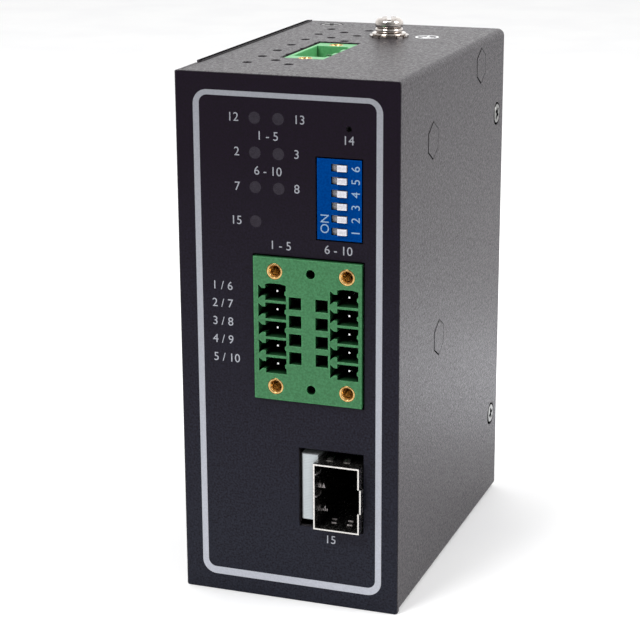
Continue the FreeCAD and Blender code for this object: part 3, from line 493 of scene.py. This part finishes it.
def printed_film():
    """Black satin film, darkened towards its head by painted shade, so paler towards its foot."""
    surface = Surface("printed_film").set(Specular_IOR_Level=film_shine, Specular_Tint=film_tint)
    grain = surface.noise(film_grain, fine_detail)
    # Painted shade: the film's colour falls towards its head
    shade = surface.ramp(surface.height(film_low.z, film_high.z), 1.0, film_head_shade, *film_shade_spread)
    mottle = surface.ramp(grain, *film_colours, *film_spread)
    surface.link(surface.mixed(mottle, shade, "MULTIPLY"), surface.shader.inputs["Base Color"])
    surface.rough(grain, *film_gloss)
    surface.bump(grain, film_relief, film_bump)
    return surface.material


def printing_ink(name, colour, head=1.0):
    """Matt ink with slightly uneven cover, which painted shade takes down to a share of its brightness at the film's
    head.
    """
    surface = Surface(name)
    thin = tuple(ink_thin * part for part in colour)
    cover = surface.ramp(surface.noise(ink_grain), thin, colour)
    # Painted shade: the ink darkens towards the film's head
    if head < 1.0:
        shade = surface.ramp(surface.height(film_low.z, film_high.z), 1.0, head, 0.0, 1.0)
        cover = surface.mixed(cover, shade, "MULTIPLY")
    surface.link(cover, surface.shader.inputs["Base Color"])
    surface.rough(surface.noise(ink_patch), *ink_gloss)
    return surface.material


def smoked_window():
    """Dark window of the film, a little clearer and glossier than the rest."""
    surface = Surface("smoked_window").set(Specular_IOR_Level=window_shine, Specular_Tint=window_tint)
    surface.colour(surface.noise(window_grain), *window_colours)
    surface.rough(surface.noise(window_patch), *window_gloss)
    return surface.material


def moulding(name, dark, light, gloss=(0.34, 0.46), relief=0.008, shine=0.5, hollow_shade_reach=6.0):
    """Moulded plastic with a faint mottle, a fine skin, eased edges lightened by painted highlight, and painted
    shade in cavities of a width.
    """
    surface = Surface(name).set(Specular_IOR_Level=shine)
    grain = surface.noise(skin_grain)
    surface.sunken(surface.noise(mottle_grain, fine_detail), dark, light, hollow_shade_reach, moulding_hollow_shade_start)
    surface.edged(*moulding_edge_highlight)
    surface.rough(grain, *gloss)
    surface.bump(grain, relief, moulding_bump, moulding_ease)
    return surface.material


def metal(name, dark, light, gloss, stretch=(1, 1, 1), size=0.4, relief=0.004, hollow_shade_reach=0.0):
    """Bare or plated metal, with its grain drawn out along one axis, and painted shade in cavities of a width."""
    surface = Surface(name).set(Metallic=1.0)
    grain = surface.noise(size, fine_detail, stretch)
    if hollow_shade_reach > 0:
        surface.sunken(grain, dark, light, hollow_shade_reach, metal_hollow_shade_start)
    else:
        surface.colour(grain, dark, light)
    surface.rough(surface.noise(size, stretch=stretch), *gloss)
    surface.bump(grain, relief, metal_bump)
    return surface.material


def conductive_cloth():
    """Pale woven cloth over foam, with painted shade in its hollows."""
    surface = Surface("conductive_cloth").set(Sheen_Weight=cloth_sheen)
    weave = surface.mixed(surface.waves(cloth_pitch, "Y"), surface.waves(cloth_pitch, "Z"), "ADD", 0.5)
    surface.sunken(weave, *cloth_colours, cloth_hollow_shade_reach, cloth_hollow_shade_start)
    surface.rough(surface.noise(cloth_grain), *cloth_gloss)
    surface.bump(weave, cloth_relief, cloth_bump)
    return surface.material


def board_laminate():
    """Green solder mask over tracks that show as faint ridges."""
    surface = Surface("board_laminate")
    tracks = surface.mixed(surface.waves(track_pitch, "Y"), surface.noise(track_patch), "MULTIPLY")
    surface.colour(tracks, *board_colours)
    surface.rough(surface.noise(board_grain), *board_gloss)
    surface.bump(tracks, board_relief, board_bump)
    return surface.material


def pale_floor():
    """Plain pale floor."""
    surface = Surface("pale_floor")
    surface.colour(surface.noise(floor_grain), *floor_colours)
    surface.rough(surface.noise(floor_patch), *floor_gloss)
    return surface.material


def make_materials():
    """Every finish by its slot's name, and those of the inks, the windows and single pieces."""
    made = {
        "case_paint": powder_coat(),
        "panel_film": printed_film(),
        "smoked_window": smoked_window(),
        "gasket_cloth": conductive_cloth(),
        "board_laminate": board_laminate(),
    }
    for make, finishes in ((printing_ink, inks), (moulding, mouldings), (metal, metals)):
        for name, values in finishes.items():
            made[name] = make(name, **values)
    return made


materials = make_materials()

# Nodes whose finish differs from the one that their slot has elsewhere: the power header wears a brighter, lit copy
# of the header green, painted light
node_finish = {"power_header": "socket_green"}


def dress_nodes():
    """Gives every CAD node the finish of its slot."""
    for part in frame["record"]["subparts"]:
        mesh = frame["nodes"][part["node"]].data
        mesh.materials.clear()
        mesh.materials.append(materials[node_finish.get(part["node"], part["material_slot"])])


def add_piece(name, shape, material):
    """Makes a piece from a bmesh, and lets it ride on the housing."""
    mesh = bpy.data.meshes.new(name)
    shape.normal_update()
    shape.to_mesh(mesh)
    shape.free()
    mesh.materials.append(materials[material])
    piece = bpy.data.objects.new(name, mesh)
    bpy.context.scene.collection.objects.link(piece)
    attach(piece, "housing")
    return piece


def rounded_rectangle(low, high, radius, steps=10):
    """Points of a rectangle with round corners, anticlockwise."""
    centres = ((high[0] - radius, high[1] - radius), (low[0] + radius, high[1] - radius),
               (low[0] + radius, low[1] + radius), (high[0] - radius, low[1] + radius))
    points = []
    for corner, centre in enumerate(centres):
        for step in range(steps + 1):
            angle = math.pi / 2 * (corner + step / steps)
            points.append((centre[0] + radius * math.cos(angle), centre[1] + radius * math.sin(angle)))
    return points


def circle(centre, radius, steps):
    """Points of a circle, anticlockwise."""
    angles = [2 * math.pi * step / steps for step in range(steps)]
    return [(centre[0] + radius * math.cos(a), centre[1] + radius * math.sin(a)) for a in angles]


def on_film(u, v, lift):
    """Point on the front film, lifted off it."""
    return Vector((u, film_face - lift, v))


def on_top(u, v, lift):
    """Point on the top wall, lifted off it."""
    return Vector((u, v, top_face + lift))


def on_side(u, v, lift):
    """Point on the right wall, lifted off it."""
    return Vector((side_face + lift, u, v))


def add_wall(shape, one, two):
    """Faces between two closed loops of as many points."""
    for first in range(len(one)):
        second = (first + 1) % len(one)
        shape.faces.new((one[first], one[second], two[second], two[first]))


def add_band(shape, outer, inner, place):
    """Flat closed band between two loops of as many points."""
    rings = []
    for lift in (print_lift, print_lift + ink):
        for loop in (outer, inner):
            rings.append([shape.verts.new(place(u, v, lift)) for u, v in loop])
    back_outer, back_inner, face_outer, face_inner = rings
    add_wall(shape, face_outer, face_inner)
    add_wall(shape, back_inner, back_outer)
    add_wall(shape, back_outer, face_outer)
    add_wall(shape, face_inner, back_inner)


def add_field(shape, outline, place):
    """Flat closed field inside an outline."""
    back = [shape.verts.new(place(u, v, print_lift)) for u, v in outline]
    face = [shape.verts.new(place(u, v, print_lift + ink)) for u, v in outline]
    shape.faces.new(face)
    shape.faces.new(back[::-1])
    add_wall(shape, back, face)


def add_text(shape, text, height, matrix):
    """Letters of a height, laid in a plane by a matrix."""
    curve = bpy.data.curves.new("letters", "FONT")
    curve.body = text
    curve.size = height
    curve.extrude = ink / 2
    curve.align_x = "CENTER"
    curve.align_y = "CENTER"
    letters = bpy.data.objects.new("letters", curve)
    mesh = bpy.data.meshes.new_from_object(letters)
    mesh.transform(matrix)
    shape.from_mesh(mesh)
    bpy.data.objects.remove(letters)
    bpy.data.curves.remove(curve)
    bpy.data.meshes.remove(mesh)


def facing_front(x, y, z, turn=0.0):
    """Matrix that stands a flat text up to face the front, turned in its plane."""
    upright = Matrix.Rotation(math.pi / 2, 4, "X")
    return Matrix.Translation((x, y, z)) @ upright @ Matrix.Rotation(turn, 4, "Z")


def make_frame_line():
    """Light line printed round the film."""
    shape = bmesh.new()
    outer = rounded_rectangle((line_left, line_bottom), (line_right, line_top), line_corner)
    inner = rounded_rectangle((line_left + line_side, line_bottom + line_foot),
                              (line_right - line_side, line_top - line_head), line_corner - line_side)
    add_band(shape, outer, inner, on_film)
    add_piece("frame_line", shape, "pale_ink")


def make_lamp_windows():
    """Smoked windows over the lamps."""
    shape = bmesh.new()
    for row in range(window_rows):
        columns = window_columns if row < window_rows - 1 else window_columns[:1]
        for x in columns:
            place = (x, window_top - row * window_step)
            add_field(shape, circle(place, window_radius, window_steps), on_film)
    add_piece("lamp_windows", shape, "smoked_window")


def make_panel_numbers():
    """Plain numbers beside the lamps, poles and openings."""
    shape = bmesh.new()
    for text, x, z in panel_numbers:
        add_text(shape, text, number_height, facing_front(x * mm, film_face - print_lift - ink / 2, z * mm))
    add_piece("panel_numbers", shape, "pale_ink")


def make_switch_marks():
    """Way numbers and the ON mark on the slide switch."""
    shape = bmesh.new()
    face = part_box("switch_cover")[0].y - print_lift - ink / 2
    for way in range(1, switch_ways + 1):
        low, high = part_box("switch_lever_" + str(way))
        matrix = facing_front(switch_number_x, face, (low.z + high.z) / 2, math.pi / 2)
        add_text(shape, str(way), switch_mark_height, matrix)
    x, z = switch_on_place
    add_text(shape, "ON", switch_mark_height, facing_front(x, face, z, math.pi / 2))
    add_piece("switch_marks", shape, "switch_ink")


def make_earth_sign():
    """Earth sign in a ring, printed beside the ground screw."""
    shape = bmesh.new()
    add_band(shape, circle(earth_place, earth_radius, earth_steps),
             circle(earth_place, earth_radius - earth_line, earth_steps), on_top)
    x, y = earth_place
    half = earth_line / 2
    bars = [(half, earth_stem[0] * earth_radius, earth_stem[1] * earth_radius)]
    bars += [(earth_radius * share, -drop * earth_radius - half, -drop * earth_radius + half)
             for share, drop in earth_bars]
    for reach, low, high in bars:
        corners = [(x - reach, y + low), (x + reach, y + low), (x + reach, y + high), (x - reach, y + high)]
        add_field(shape, corners, on_top)
    add_piece("earth_sign", shape, "white_ink")


def standoff_heads():
    """Corners of the standoffs' heads in the right wall, a list for each head."""
    node = frame["nodes"]["standoffs"]
    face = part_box("standoffs")[1].x
    heads = []
    for corner in [node.matrix_world @ vertex.co for vertex in node.data.vertices]:
        if face - corner.x > print_lift:
            continue
        near = [head for head in heads if (head[0] - corner).length < standoff_head_apart]
        if not near:
            heads.append([corner])
        elif min((other - corner).length for other in near[0]) > print_lift:
            near[0].append(corner)
    return heads


def make_paint_cracks():
    """Dark lines of painted shadow along the front half of each standoff's head."""
    shape = bmesh.new()
    for head in standoff_heads():
        middle = sum(head, Vector()) / len(head)
        front = sorted((c for c in head if c.y < middle.y + shadow_line_width), key=lambda c: c.z)
        for one, two in zip(front[:-1], front[1:]):
            across = Vector((0, one.z - two.z, two.y - one.y)).normalized() * shadow_line_width / 2
            corners = [one - across, one + across, two + across, two - across]
            add_field(shape, [(c.y, c.z) for c in corners], on_side)
    bmesh.ops.recalc_face_normals(shape, faces=shape.faces)
    add_piece("standoff_shadow_lines", shape, "shadow_gap")


def make_cover_edge():
    """Dark strip of painted shade on top of the rear cover's left wall."""
    node = frame["nodes"]["rear_cover"]
    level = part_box("rear_cover")[1].z
    rim = [corner for corner in (node.matrix_world @ vertex.co for vertex in node.data.vertices)
           if level - corner.z < print_lift]
    left = min(corner.x for corner in rim)
    front = min(corner.y for corner in rim)
    back = max(corner.y for corner in rim)
    right = left + cover_shade_strip
    end = back - cover_shade_strip
    outline = [(left, front), (right, front), (right, end), (left, end)]
    shape = bmesh.new()
    add_field(shape, outline, lambda u, v, lift: Vector((u, v, level + lift)))
    bmesh.ops.recalc_face_normals(shape, faces=shape.faces)
    add_piece("cover_shade_strip", shape, "shadow_gap")


def turned(profile, steps=48):
    """Solid of revolution about Z from (radius, height) points, closed at both ends."""
    shape = bmesh.new()
    rings = []
    for radius, height in profile:
        if radius == 0:
            rings.append([shape.verts.new((0, 0, height))])
        else:
            rings.append([shape.verts.new((x, y, height)) for x, y in circle((0, 0), radius, steps)])
    for low, high in zip(rings[:-1], rings[1:]):
        if len(low) == len(high):
            add_wall(shape, low, high)
            continue
        for first in range(steps):
            second = (first + 1) % steps
            if len(low) == 1:
                shape.faces.new((low[0], high[second], high[first]))
            else:
                shape.faces.new((low[first], low[second], high[0]))
    return shape


def cross_cutter(reach, wing, depth, top):
    """Tapered cross that cuts a screw's recess down from its top."""
    shape = bmesh.new()
    loops = []
    for height, share in ((top + depth * recess_over, recess_mouth), (top - depth, recess_foot)):
        long, short = reach * share, wing * (1 - recess_taper + recess_taper * share)
        corners = [(long, -short), (long, short), (short, short), (short, long),
                   (-short, long), (-short, short), (-long, short), (-long, -short),
                   (-short, -short), (-short, -long), (short, -long), (short, -short)]
        loops.append([shape.verts.new((x, y, height)) for x, y in corners])
    upper, lower = loops
    shape.faces.new(upper)
    shape.faces.new(lower[::-1])
    add_wall(shape, lower, upper)
    return shape


def slot_cutter(reach, half, depth, top):
    """Straight slot across a screw's head."""
    shape = bmesh.new()
    bmesh.ops.create_cube(shape, size=1.0)
    bmesh.ops.scale(shape, vec=(2 * reach, 2 * half, 2 * depth), verts=shape.verts)
    bmesh.ops.translate(shape, vec=(0, 0, top), verts=shape.verts)
    return shape


def plain_object(shape, name):
    """Object for a bmesh, used while cutting."""
    mesh = bpy.data.meshes.new(name)
    shape.to_mesh(mesh)
    shape.free()
    made = bpy.data.objects.new(name, mesh)
    bpy.context.scene.collection.objects.link(made)
    return made


def cut(shape, cutters):
    """A bmesh with other bmeshes cut out of it."""
    body = plain_object(shape, "blank")
    tools = [plain_object(cutter, "cutter") for cutter in cutters]
    for tool in tools:
        step = body.modifiers.new("cut", "BOOLEAN")
        step.operation = "DIFFERENCE"
        step.solver = "EXACT"
        step.object = tool
    bpy.context.view_layer.update()
    mesh = bpy.data.meshes.new_from_object(body.evaluated_get(bpy.context.evaluated_depsgraph_get()))
    result = bmesh.new()
    result.from_mesh(mesh)
    bpy.data.meshes.remove(mesh)
    for made in [body, *tools]:
        bpy.data.objects.remove(made)
    return result


def join_into(target, shape, matrix):
    """Adds a copy of a bmesh to another, placed by a matrix."""
    mesh = bpy.data.meshes.new("join")
    shape.to_mesh(mesh)
    mesh.transform(matrix)
    target.from_mesh(mesh)
    bpy.data.meshes.remove(mesh)


def threaded(radius, low, high, pitch, depth):
    """Profile of a threaded shank from its tip up."""
    points = [(0, low), (radius - depth, low)]
    turns = int((high - low) / pitch)
    for turn in range(turns):
        base = low + turn * pitch
        points += [(radius - cut_share * depth, base + share * pitch) for share, cut_share in thread_form]
    return points + [(radius - depth, high)]


def add_detail(name, shape, material, node):
    """Makes a smooth piece with crisp edges, which takes the place of a CAD node."""
    piece = add_piece(name, shape, material)
    piece.data.shade_smooth()
    piece.data.set_sharp_from_angle(angle=math.radians(crease))
    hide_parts(node)
    return piece


def make_ground_screw():
    """Pan-head earth screw with a crossed slot and a threaded shank."""
    low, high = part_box("ground_screw")
    centre = (low + high) / 2
    radius = (high.x - low.x) / 2
    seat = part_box("spring_washer")[1].z
    height = high.z - seat
    profile = threaded(ground_shank, low.z, seat, ground_thread, ground_thread / 2)
    for step in range(under_steps + 1):
        angle = math.pi / 2 * (step / under_steps - 1)
        profile.append((radius - head_under + head_under * math.cos(angle),
                        seat + head_under + head_under * math.sin(angle)))
    dome = height - head_under
    flat = head_flat * radius
    for step in range(1, dome_steps + 1):
        angle = math.pi / 2 * step / dome_steps
        across = (radius - flat) * math.cos(angle) ** head_square
        up = dome * math.sin(angle) ** head_square
        profile.append((flat + across, seat + head_under + up))
    profile.append((0, high.z))
    recess = [cross_cutter(ground_recess * radius, ground_slot, ground_recess_depth * height, high.z),
              slot_cutter(2 * radius, ground_slot, ground_slot_depth, high.z)]
    shape = cut(turned(profile, fine_steps), recess)
    turn = Matrix.Rotation(math.radians(ground_slot_turn), 4, "Z")
    bmesh.ops.transform(shape, matrix=Matrix.Translation((centre.x, centre.y, 0)) @ turn, verts=shape.verts)
    add_detail("ground_screw_detail", shape, "plated_steel", "ground_screw")


def rounded_ring(outer, bore, low, high):
    """Flat ring about Z with a round outer edge."""
    middle = (low + high) / 2
    half = (high - low) / 2
    profile = [(bore, low)]
    for step in range(washer_steps + 1):
        angle = math.pi * (step / washer_steps - 0.5)
        profile.append((outer - half + half * math.cos(angle), middle + half * math.sin(angle)))
    profile += [(bore, high), (bore, low)]
    shape = turned(profile, fine_steps)
    bmesh.ops.remove_doubles(shape, verts=shape.verts, dist=weld)
    return shape


def make_washers():
    """Flat washer and split spring washer with rounded edges."""
    for node in ("flat_washer", "spring_washer"):
        low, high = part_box(node)
        outer = (high.x - low.x) / 2
        shape = rounded_ring(outer, washer_bore, low.z, high.z)
        if node == "spring_washer":
            split = slot_cutter(outer, washer_split / 2, 2 * (high.z - low.z), (low.z + high.z) / 2)
            bmesh.ops.rotate(split, matrix=Matrix.Rotation(math.pi / 2, 3, "Z"), verts=split.verts)
            bmesh.ops.translate(split, vec=(0, outer, 0), verts=split.verts)
            shape = cut(shape, [split])
        bmesh.ops.translate(shape, vec=((low.x + high.x) / 2, (low.y + high.y) / 2, 0), verts=shape.verts)
        add_detail(node + "_detail", shape, "plated_steel", node)


def sunk_screw(head, length, shank, sink, thread):
    """Countersunk screw along +Z with its head's face at zero and a crossed recess."""
    profile = threaded(shank, -length, -sink, thread, thread * sunk_thread_depth)
    profile += [(head - sink, -sink), (head - rim_inset[0], -rim_drop), (head - rim_inset[1], 0), (0, 0)]
    recess = cross_cutter(head * recess_share, head * recess_wing, head * recess_depth, 0)
    return cut(turned(profile), [recess])


def make_side_screws():
    """Countersunk screws of the right wall, and dark discs of painted shade in their sinks."""
    low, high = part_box("side_screws")
    head = (high.y - low.y) / 2
    blank = sunk_screw(head - sink_gap, high.x - low.x, **case_screw)
    rim = head - sink_shade_level
    foot = -sink_shade_level - ink
    shape = bmesh.new()
    sink_shades = bmesh.new()
    for z, turn in zip((low.z + head, high.z - head), side_screw_turns):
        place = Matrix.Translation((high.x, (low.y + high.y) / 2, z)) @ Matrix.Rotation(math.pi / 2, 4, "Y")
        shift = Matrix.Translation((0, sink_gap, 0))
        join_into(shape, blank, shift @ place @ Matrix.Rotation(math.radians(turn), 4, "Z"))
        # Dark disc of painted shade at the foot of the sink
        floor = turned([(0, foot), (rim, foot), (rim, -sink_shade_level), (0, -sink_shade_level)])
        join_into(sink_shades, floor, place)
        floor.free()
    blank.free()
    add_detail("side_screws_detail", shape, "dull_steel", "side_screws")
    add_piece("side_screw_sink_shades", sink_shades, "shadow_gap")


def make_top_screw():
    """Countersunk screw of the top wall."""
    low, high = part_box("top_screw")
    head = (high.y - low.y) / 2
    shape = sunk_screw(head, high.z - low.z, **case_screw)
    place = Matrix.Translation(((low.x + high.x) / 2, (low.y + high.y) / 2, high.z))
    turn = Matrix.Rotation(math.radians(top_screw_turn), 4, "Z")
    bmesh.ops.transform(shape, matrix=place @ turn, verts=shape.verts)
    add_detail("top_screw_detail", shape, "dark_steel", "top_screw")


def make_clip_screws():
    """Countersunk screws of the rail clip."""
    low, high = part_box("din_screws")
    blank = sunk_screw(clip_head, high.y - low.y, **clip_screw)
    shape = bmesh.new()
    for x in (low.x + clip_head, high.x - clip_head):
        for z in (low.z + clip_head, high.z - clip_head):
            place = Matrix.Translation((x, high.y, z)) @ Matrix.Rotation(-math.pi / 2, 4, "X")
            join_into(shape, blank, place @ Matrix.Rotation(x * clip_turn_rate / mm, 4, "Z"))
    blank.free()
    add_detail("clip_screws_detail", shape, "plated_steel", "din_screws")


def bush(outer, length):
    """Brass bush along -Z from its face at zero, with a countersunk mouth and a threaded blind bore."""
    ridge = bush_bore - bush_thread_depth * bush_thread
    profile = [(0, -bush_depth), (ridge, -bush_depth)]
    turns = int((bush_depth - 2 * bush_mouth) / bush_thread)
    for turn in range(turns):
        base = -bush_depth + turn * bush_thread
        profile += [(bush_bore, base + bush_thread / 2), (ridge, base + bush_thread)]
    rim = (outer - bush_bore - bush_mouth) / 2
    profile += [(bush_bore, -bush_mouth), (bush_bore + bush_mouth, 0)]
    for step in range(1, bush_rim_steps + 1):
        angle = math.pi / 2 * (1 - step / bush_rim_steps)
        profile.append((outer - rim + rim * math.cos(angle), rim * (math.sin(angle) - 1)))
    profile += [(outer, -length), (0, -length)]
    shape = turned(profile, bush_steps)
    bmesh.ops.recalc_face_normals(shape, faces=shape.faces)
    return shape


def make_serial_bushes():
    """Threaded bushes in the corners of the serial header."""
    low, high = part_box("serial_inserts")
    blank = bush(serial_bush, high.y - low.y)
    shape = bmesh.new()
    for x in (low.x + serial_bush, high.x - serial_bush):
        for z in (low.z + serial_bush, high.z - serial_bush):
            join_into(shape, blank, Matrix.Translation((x, low.y, z)) @ Matrix.Rotation(math.pi / 2, 4, "X"))
    blank.free()
    add_detail("serial_bushes_detail", shape, "insert_brass", "serial_inserts")


def make_power_bushes():
    """Threaded bushes at the ends of the power header."""
    low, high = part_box("power_inserts")
    outer = (high.x - low.x) / 2
    blank = bush(outer, high.z - low.z)
    shape = bmesh.new()
    for y in (low.y + outer, high.y - outer):
        join_into(shape, blank, Matrix.Translation((low.x + outer, y, high.z)))
    blank.free()
    add_detail("power_bushes_detail", shape, "insert_brass", "power_inserts")


def add_strip(shape, ends, rise, width, place, steps=14):
    """Sheet strip bowed off a wall between two ends along the depth, placed by (depth, rise, side)."""
    rows = []
    for step in range(steps + 1):
        share = step / steps
        depth = ends[0] + share * (ends[1] - ends[0])
        bow = rise * math.sin(math.pi * share)
        top = bow + strip_thickness
        corners = ((bow, -width / 2), (bow, width / 2), (top, width / 2), (top, -width / 2))
        rows.append([shape.verts.new(Vector(place(depth, out, side)) * mm) for out, side in corners])
    for one, two in zip(rows[:-1], rows[1:]):
        add_wall(shape, one, two)
    shape.faces.new(rows[0])
    shape.faces.new(rows[-1])


def add_tab(shape, centre, size):
    """Small upright tab, lanced from a wall."""
    made = bmesh.ops.create_cube(shape, size=1.0)["verts"]
    bmesh.ops.scale(shape, vec=Vector(size) * mm, verts=made)
    bmesh.ops.translate(shape, vec=Vector(centre) * mm, verts=made)


def add_barb(shape, left):
    """Triangular barb that stands out from the cage's left wall and faces the front."""
    depth, level = barb_place
    width, height = barb_size
    foot = level - height / 2
    outline = ((left, foot), (left + width, foot), (left + width / 2, level + height / 2))
    rows = [[shape.verts.new(Vector((x, y, z)) * mm) for x, z in outline]
            for y in (depth, depth + strip_thickness)]
    shape.faces.new(rows[0])
    shape.faces.new(rows[1][::-1])
    add_wall(shape, rows[1], rows[0])


def make_cage_springs():
    """Bowed leaves and lanced tabs inside the network cage."""
    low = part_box("network_cage")[0]
    left, bottom = low.x / mm + cage_wall, low.z / mm + cage_wall
    shape = bmesh.new()
    for level in leaf_levels:
        add_strip(shape, leaf_ends, leaf_rise, leaf_width,
                  lambda depth, out, side: (left + out, depth, level + side))
    for x, y in floor_tabs:
        add_tab(shape, (x, y, bottom + tab_size[2] / 2), tab_size)
    for number, height in enumerate(stroke_heights):
        x = left + stroke_width + number * stroke_step
        z = stroke_place[1] + (height - max(stroke_heights)) / 2
        add_tab(shape, (x, stroke_place[0], z), (stroke_width, tab_size[1], height))
    add_barb(shape, left)
    bmesh.ops.recalc_face_normals(shape, faces=shape.faces)
    add_piece("cage_springs", shape, "leaf_steel")


def make_cage_fingers():
    """Bowed contact fingers on top of the network cage."""
    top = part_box("network_cage")[1].z / mm
    shape = bmesh.new()
    for x in finger_places:
        add_strip(shape, finger_ends, finger_rise, finger_width,
                  lambda depth, out, side: (x + side, depth, top + out))
    bmesh.ops.recalc_face_normals(shape, faces=shape.faces)
    add_piece("cage_fingers", shape, "cage_plate")


def coil(radius, wire, low, high, turns, steps=28, sides=10):
    """Coil about Z of round wire with a radius, closed at both ends."""
    shape = bmesh.new()
    rows = []
    for step in range(turns * steps + 1):
        angle = 2 * math.pi * step / steps
        rise = low + wire + (high - low - 2 * wire) * step / (turns * steps)
        row = []
        for u, v in circle((radius, rise), wire, sides):
            row.append(shape.verts.new((u * math.cos(angle), u * math.sin(angle), v)))
        rows.append(row)
    for one, two in zip(rows[:-1], rows[1:]):
        add_wall(shape, one, two)
    shape.faces.new(rows[0])
    shape.faces.new(rows[-1])
    bmesh.ops.recalc_face_normals(shape, faces=shape.faces)
    return shape


def make_latch_spring():
    """Coil spring of the rail latch, with a mesh of its own."""
    low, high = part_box("din_spring")
    centre = (low + high) / 2
    wire = spring_wire / 2
    shape = coil((high.x - low.x) / 2 - wire, wire, low.z, high.z, spring_turns)
    bmesh.ops.translate(shape, vec=(centre.x, centre.y, 0), verts=shape.verts)
    piece = add_detail("latch_spring_detail", shape, "spring_wire", "din_spring")
    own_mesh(piece)


def make_floor():
    """Wide pale floor under the part."""
    shape = bmesh.new()
    bmesh.ops.create_grid(shape, x_segments=1, y_segments=1, size=floor_reach)
    mesh = bpy.data.meshes.new("floor")
    shape.to_mesh(mesh)
    shape.free()
    mesh.materials.append(pale_floor())
    floor = bpy.data.objects.new("floor", mesh)
    bpy.context.scene.collection.objects.link(floor)


def aim_light(name, lamp, place, target):
    """Puts a light at a place and turns it to a target."""
    holder = bpy.data.objects.new(name, lamp)
    holder.location = place
    holder.rotation_euler = (Vector(target) - Vector(place)).to_track_quat("-Z", "Y").to_euler()
    bpy.context.scene.collection.objects.link(holder)


def add_light(name, place, target, size, power):
    """Soft square light that looks at a target."""
    lamp = bpy.data.lights.new(name, "AREA")
    lamp.size = size
    lamp.energy = power
    aim_light(name, lamp, place, target)


def make_world():
    """White surroundings, brighter behind the part, dimmer in front of it and above it."""
    world = bpy.data.worlds.new("studio")
    world.use_nodes = True
    tree = world.node_tree
    place = tree.nodes.new("ShaderNodeTexCoord")
    # Directions run from -1 in front to 1 behind, and the ramp runs from 0 to 1
    turn = tree.nodes.new("ShaderNodeMapping")
    turn.inputs["Location"].default_value = (0.5, 0, 0)
    turn.inputs["Rotation"].default_value = (0, 0, -math.pi / 2)
    turn.inputs["Scale"].default_value = (0.5, 0.5, 0.5)
    sweep = tree.nodes.new("ShaderNodeTexGradient")
    ramp = tree.nodes.new("ShaderNodeValToRGB")
    ramp.color_ramp.elements.new(0.5)
    for element, grey in zip(ramp.color_ramp.elements, sky_greys):
        element.color = (grey, grey, grey, 1.0)
    split = tree.nodes.new("ShaderNodeSeparateXYZ")
    ceiling = tree.nodes.new("ShaderNodeValToRGB")
    for element, level, grey in zip(ceiling.color_ramp.elements, ceiling_levels, (1.0, ceiling_share)):
        element.position = level
        element.color = (grey, grey, grey, 1.0)
    joined = tree.nodes.new("ShaderNodeMix")
    joined.data_type = "RGBA"
    joined.blend_type = "MULTIPLY"
    joined.inputs["Factor"].default_value = 1.0
    background = tree.nodes["Background"]
    background.inputs["Strength"].default_value = sky_strength
    tree.links.new(place.outputs["Generated"], turn.inputs["Vector"])
    tree.links.new(turn.outputs["Vector"], sweep.inputs["Vector"])
    tree.links.new(sweep.outputs["Fac"], ramp.inputs["Fac"])
    tree.links.new(place.outputs["Generated"], split.inputs["Vector"])
    tree.links.new(split.outputs["Z"], ceiling.inputs["Fac"])
    tree.links.new(ramp.outputs["Color"], joined.inputs["A"])
    tree.links.new(ceiling.outputs["Color"], joined.inputs["B"])
    tree.links.new(joined.outputs["Result"], background.inputs["Color"])
    bpy.context.scene.world = world


def make_pool():
    """Narrow soft beam on the floor."""
    lamp = bpy.data.lights.new("pool", "SPOT")
    lamp.energy = pool_power
    lamp.color = pool_colour
    lamp.spot_size = math.radians(pool_cone)
    lamp.spot_blend = 1.0
    lamp.shadow_soft_size = pool_softness
    aim_light("pool", lamp, pool_place, pool_target)


def make_lights():
    """Soft lights from the front and from the right, and a pool on the floor."""
    middle = (cad_low + cad_high) / 2
    add_light("key", key_place, middle, key_size, key_power)
    add_light("fill", fill_place, middle, fill_size, fill_power)
    make_pool()


def make_camera():
    """Camera at the photograph's place and angle."""
    data = bpy.data.cameras.new("camera")
    data.lens = camera_lens
    data.sensor_width = camera_sensor
    data.clip_start = camera_near
    camera = bpy.data.objects.new("camera", data)
    back = -camera_forward.normalized()
    right = camera_right.normalized()
    up = back.cross(right)
    camera.matrix_world = Matrix.Translation(camera_place) @ Matrix((right, up, back)).transposed().to_4x4()
    bpy.context.scene.collection.objects.link(camera)
    bpy.context.scene.camera = camera
    bpy.context.scene.view_settings.view_transform = "Standard"


dress_nodes()
make_frame_line()
make_lamp_windows()
make_panel_numbers()
make_switch_marks()
make_earth_sign()
make_paint_cracks()
make_cover_edge()
make_ground_screw()
make_washers()
make_side_screws()
make_top_screw()
make_clip_screws()
make_serial_bushes()
make_power_bushes()
make_cage_springs()
make_cage_fingers()
make_latch_spring()
make_floor()
make_world()
make_lights()
make_camera()
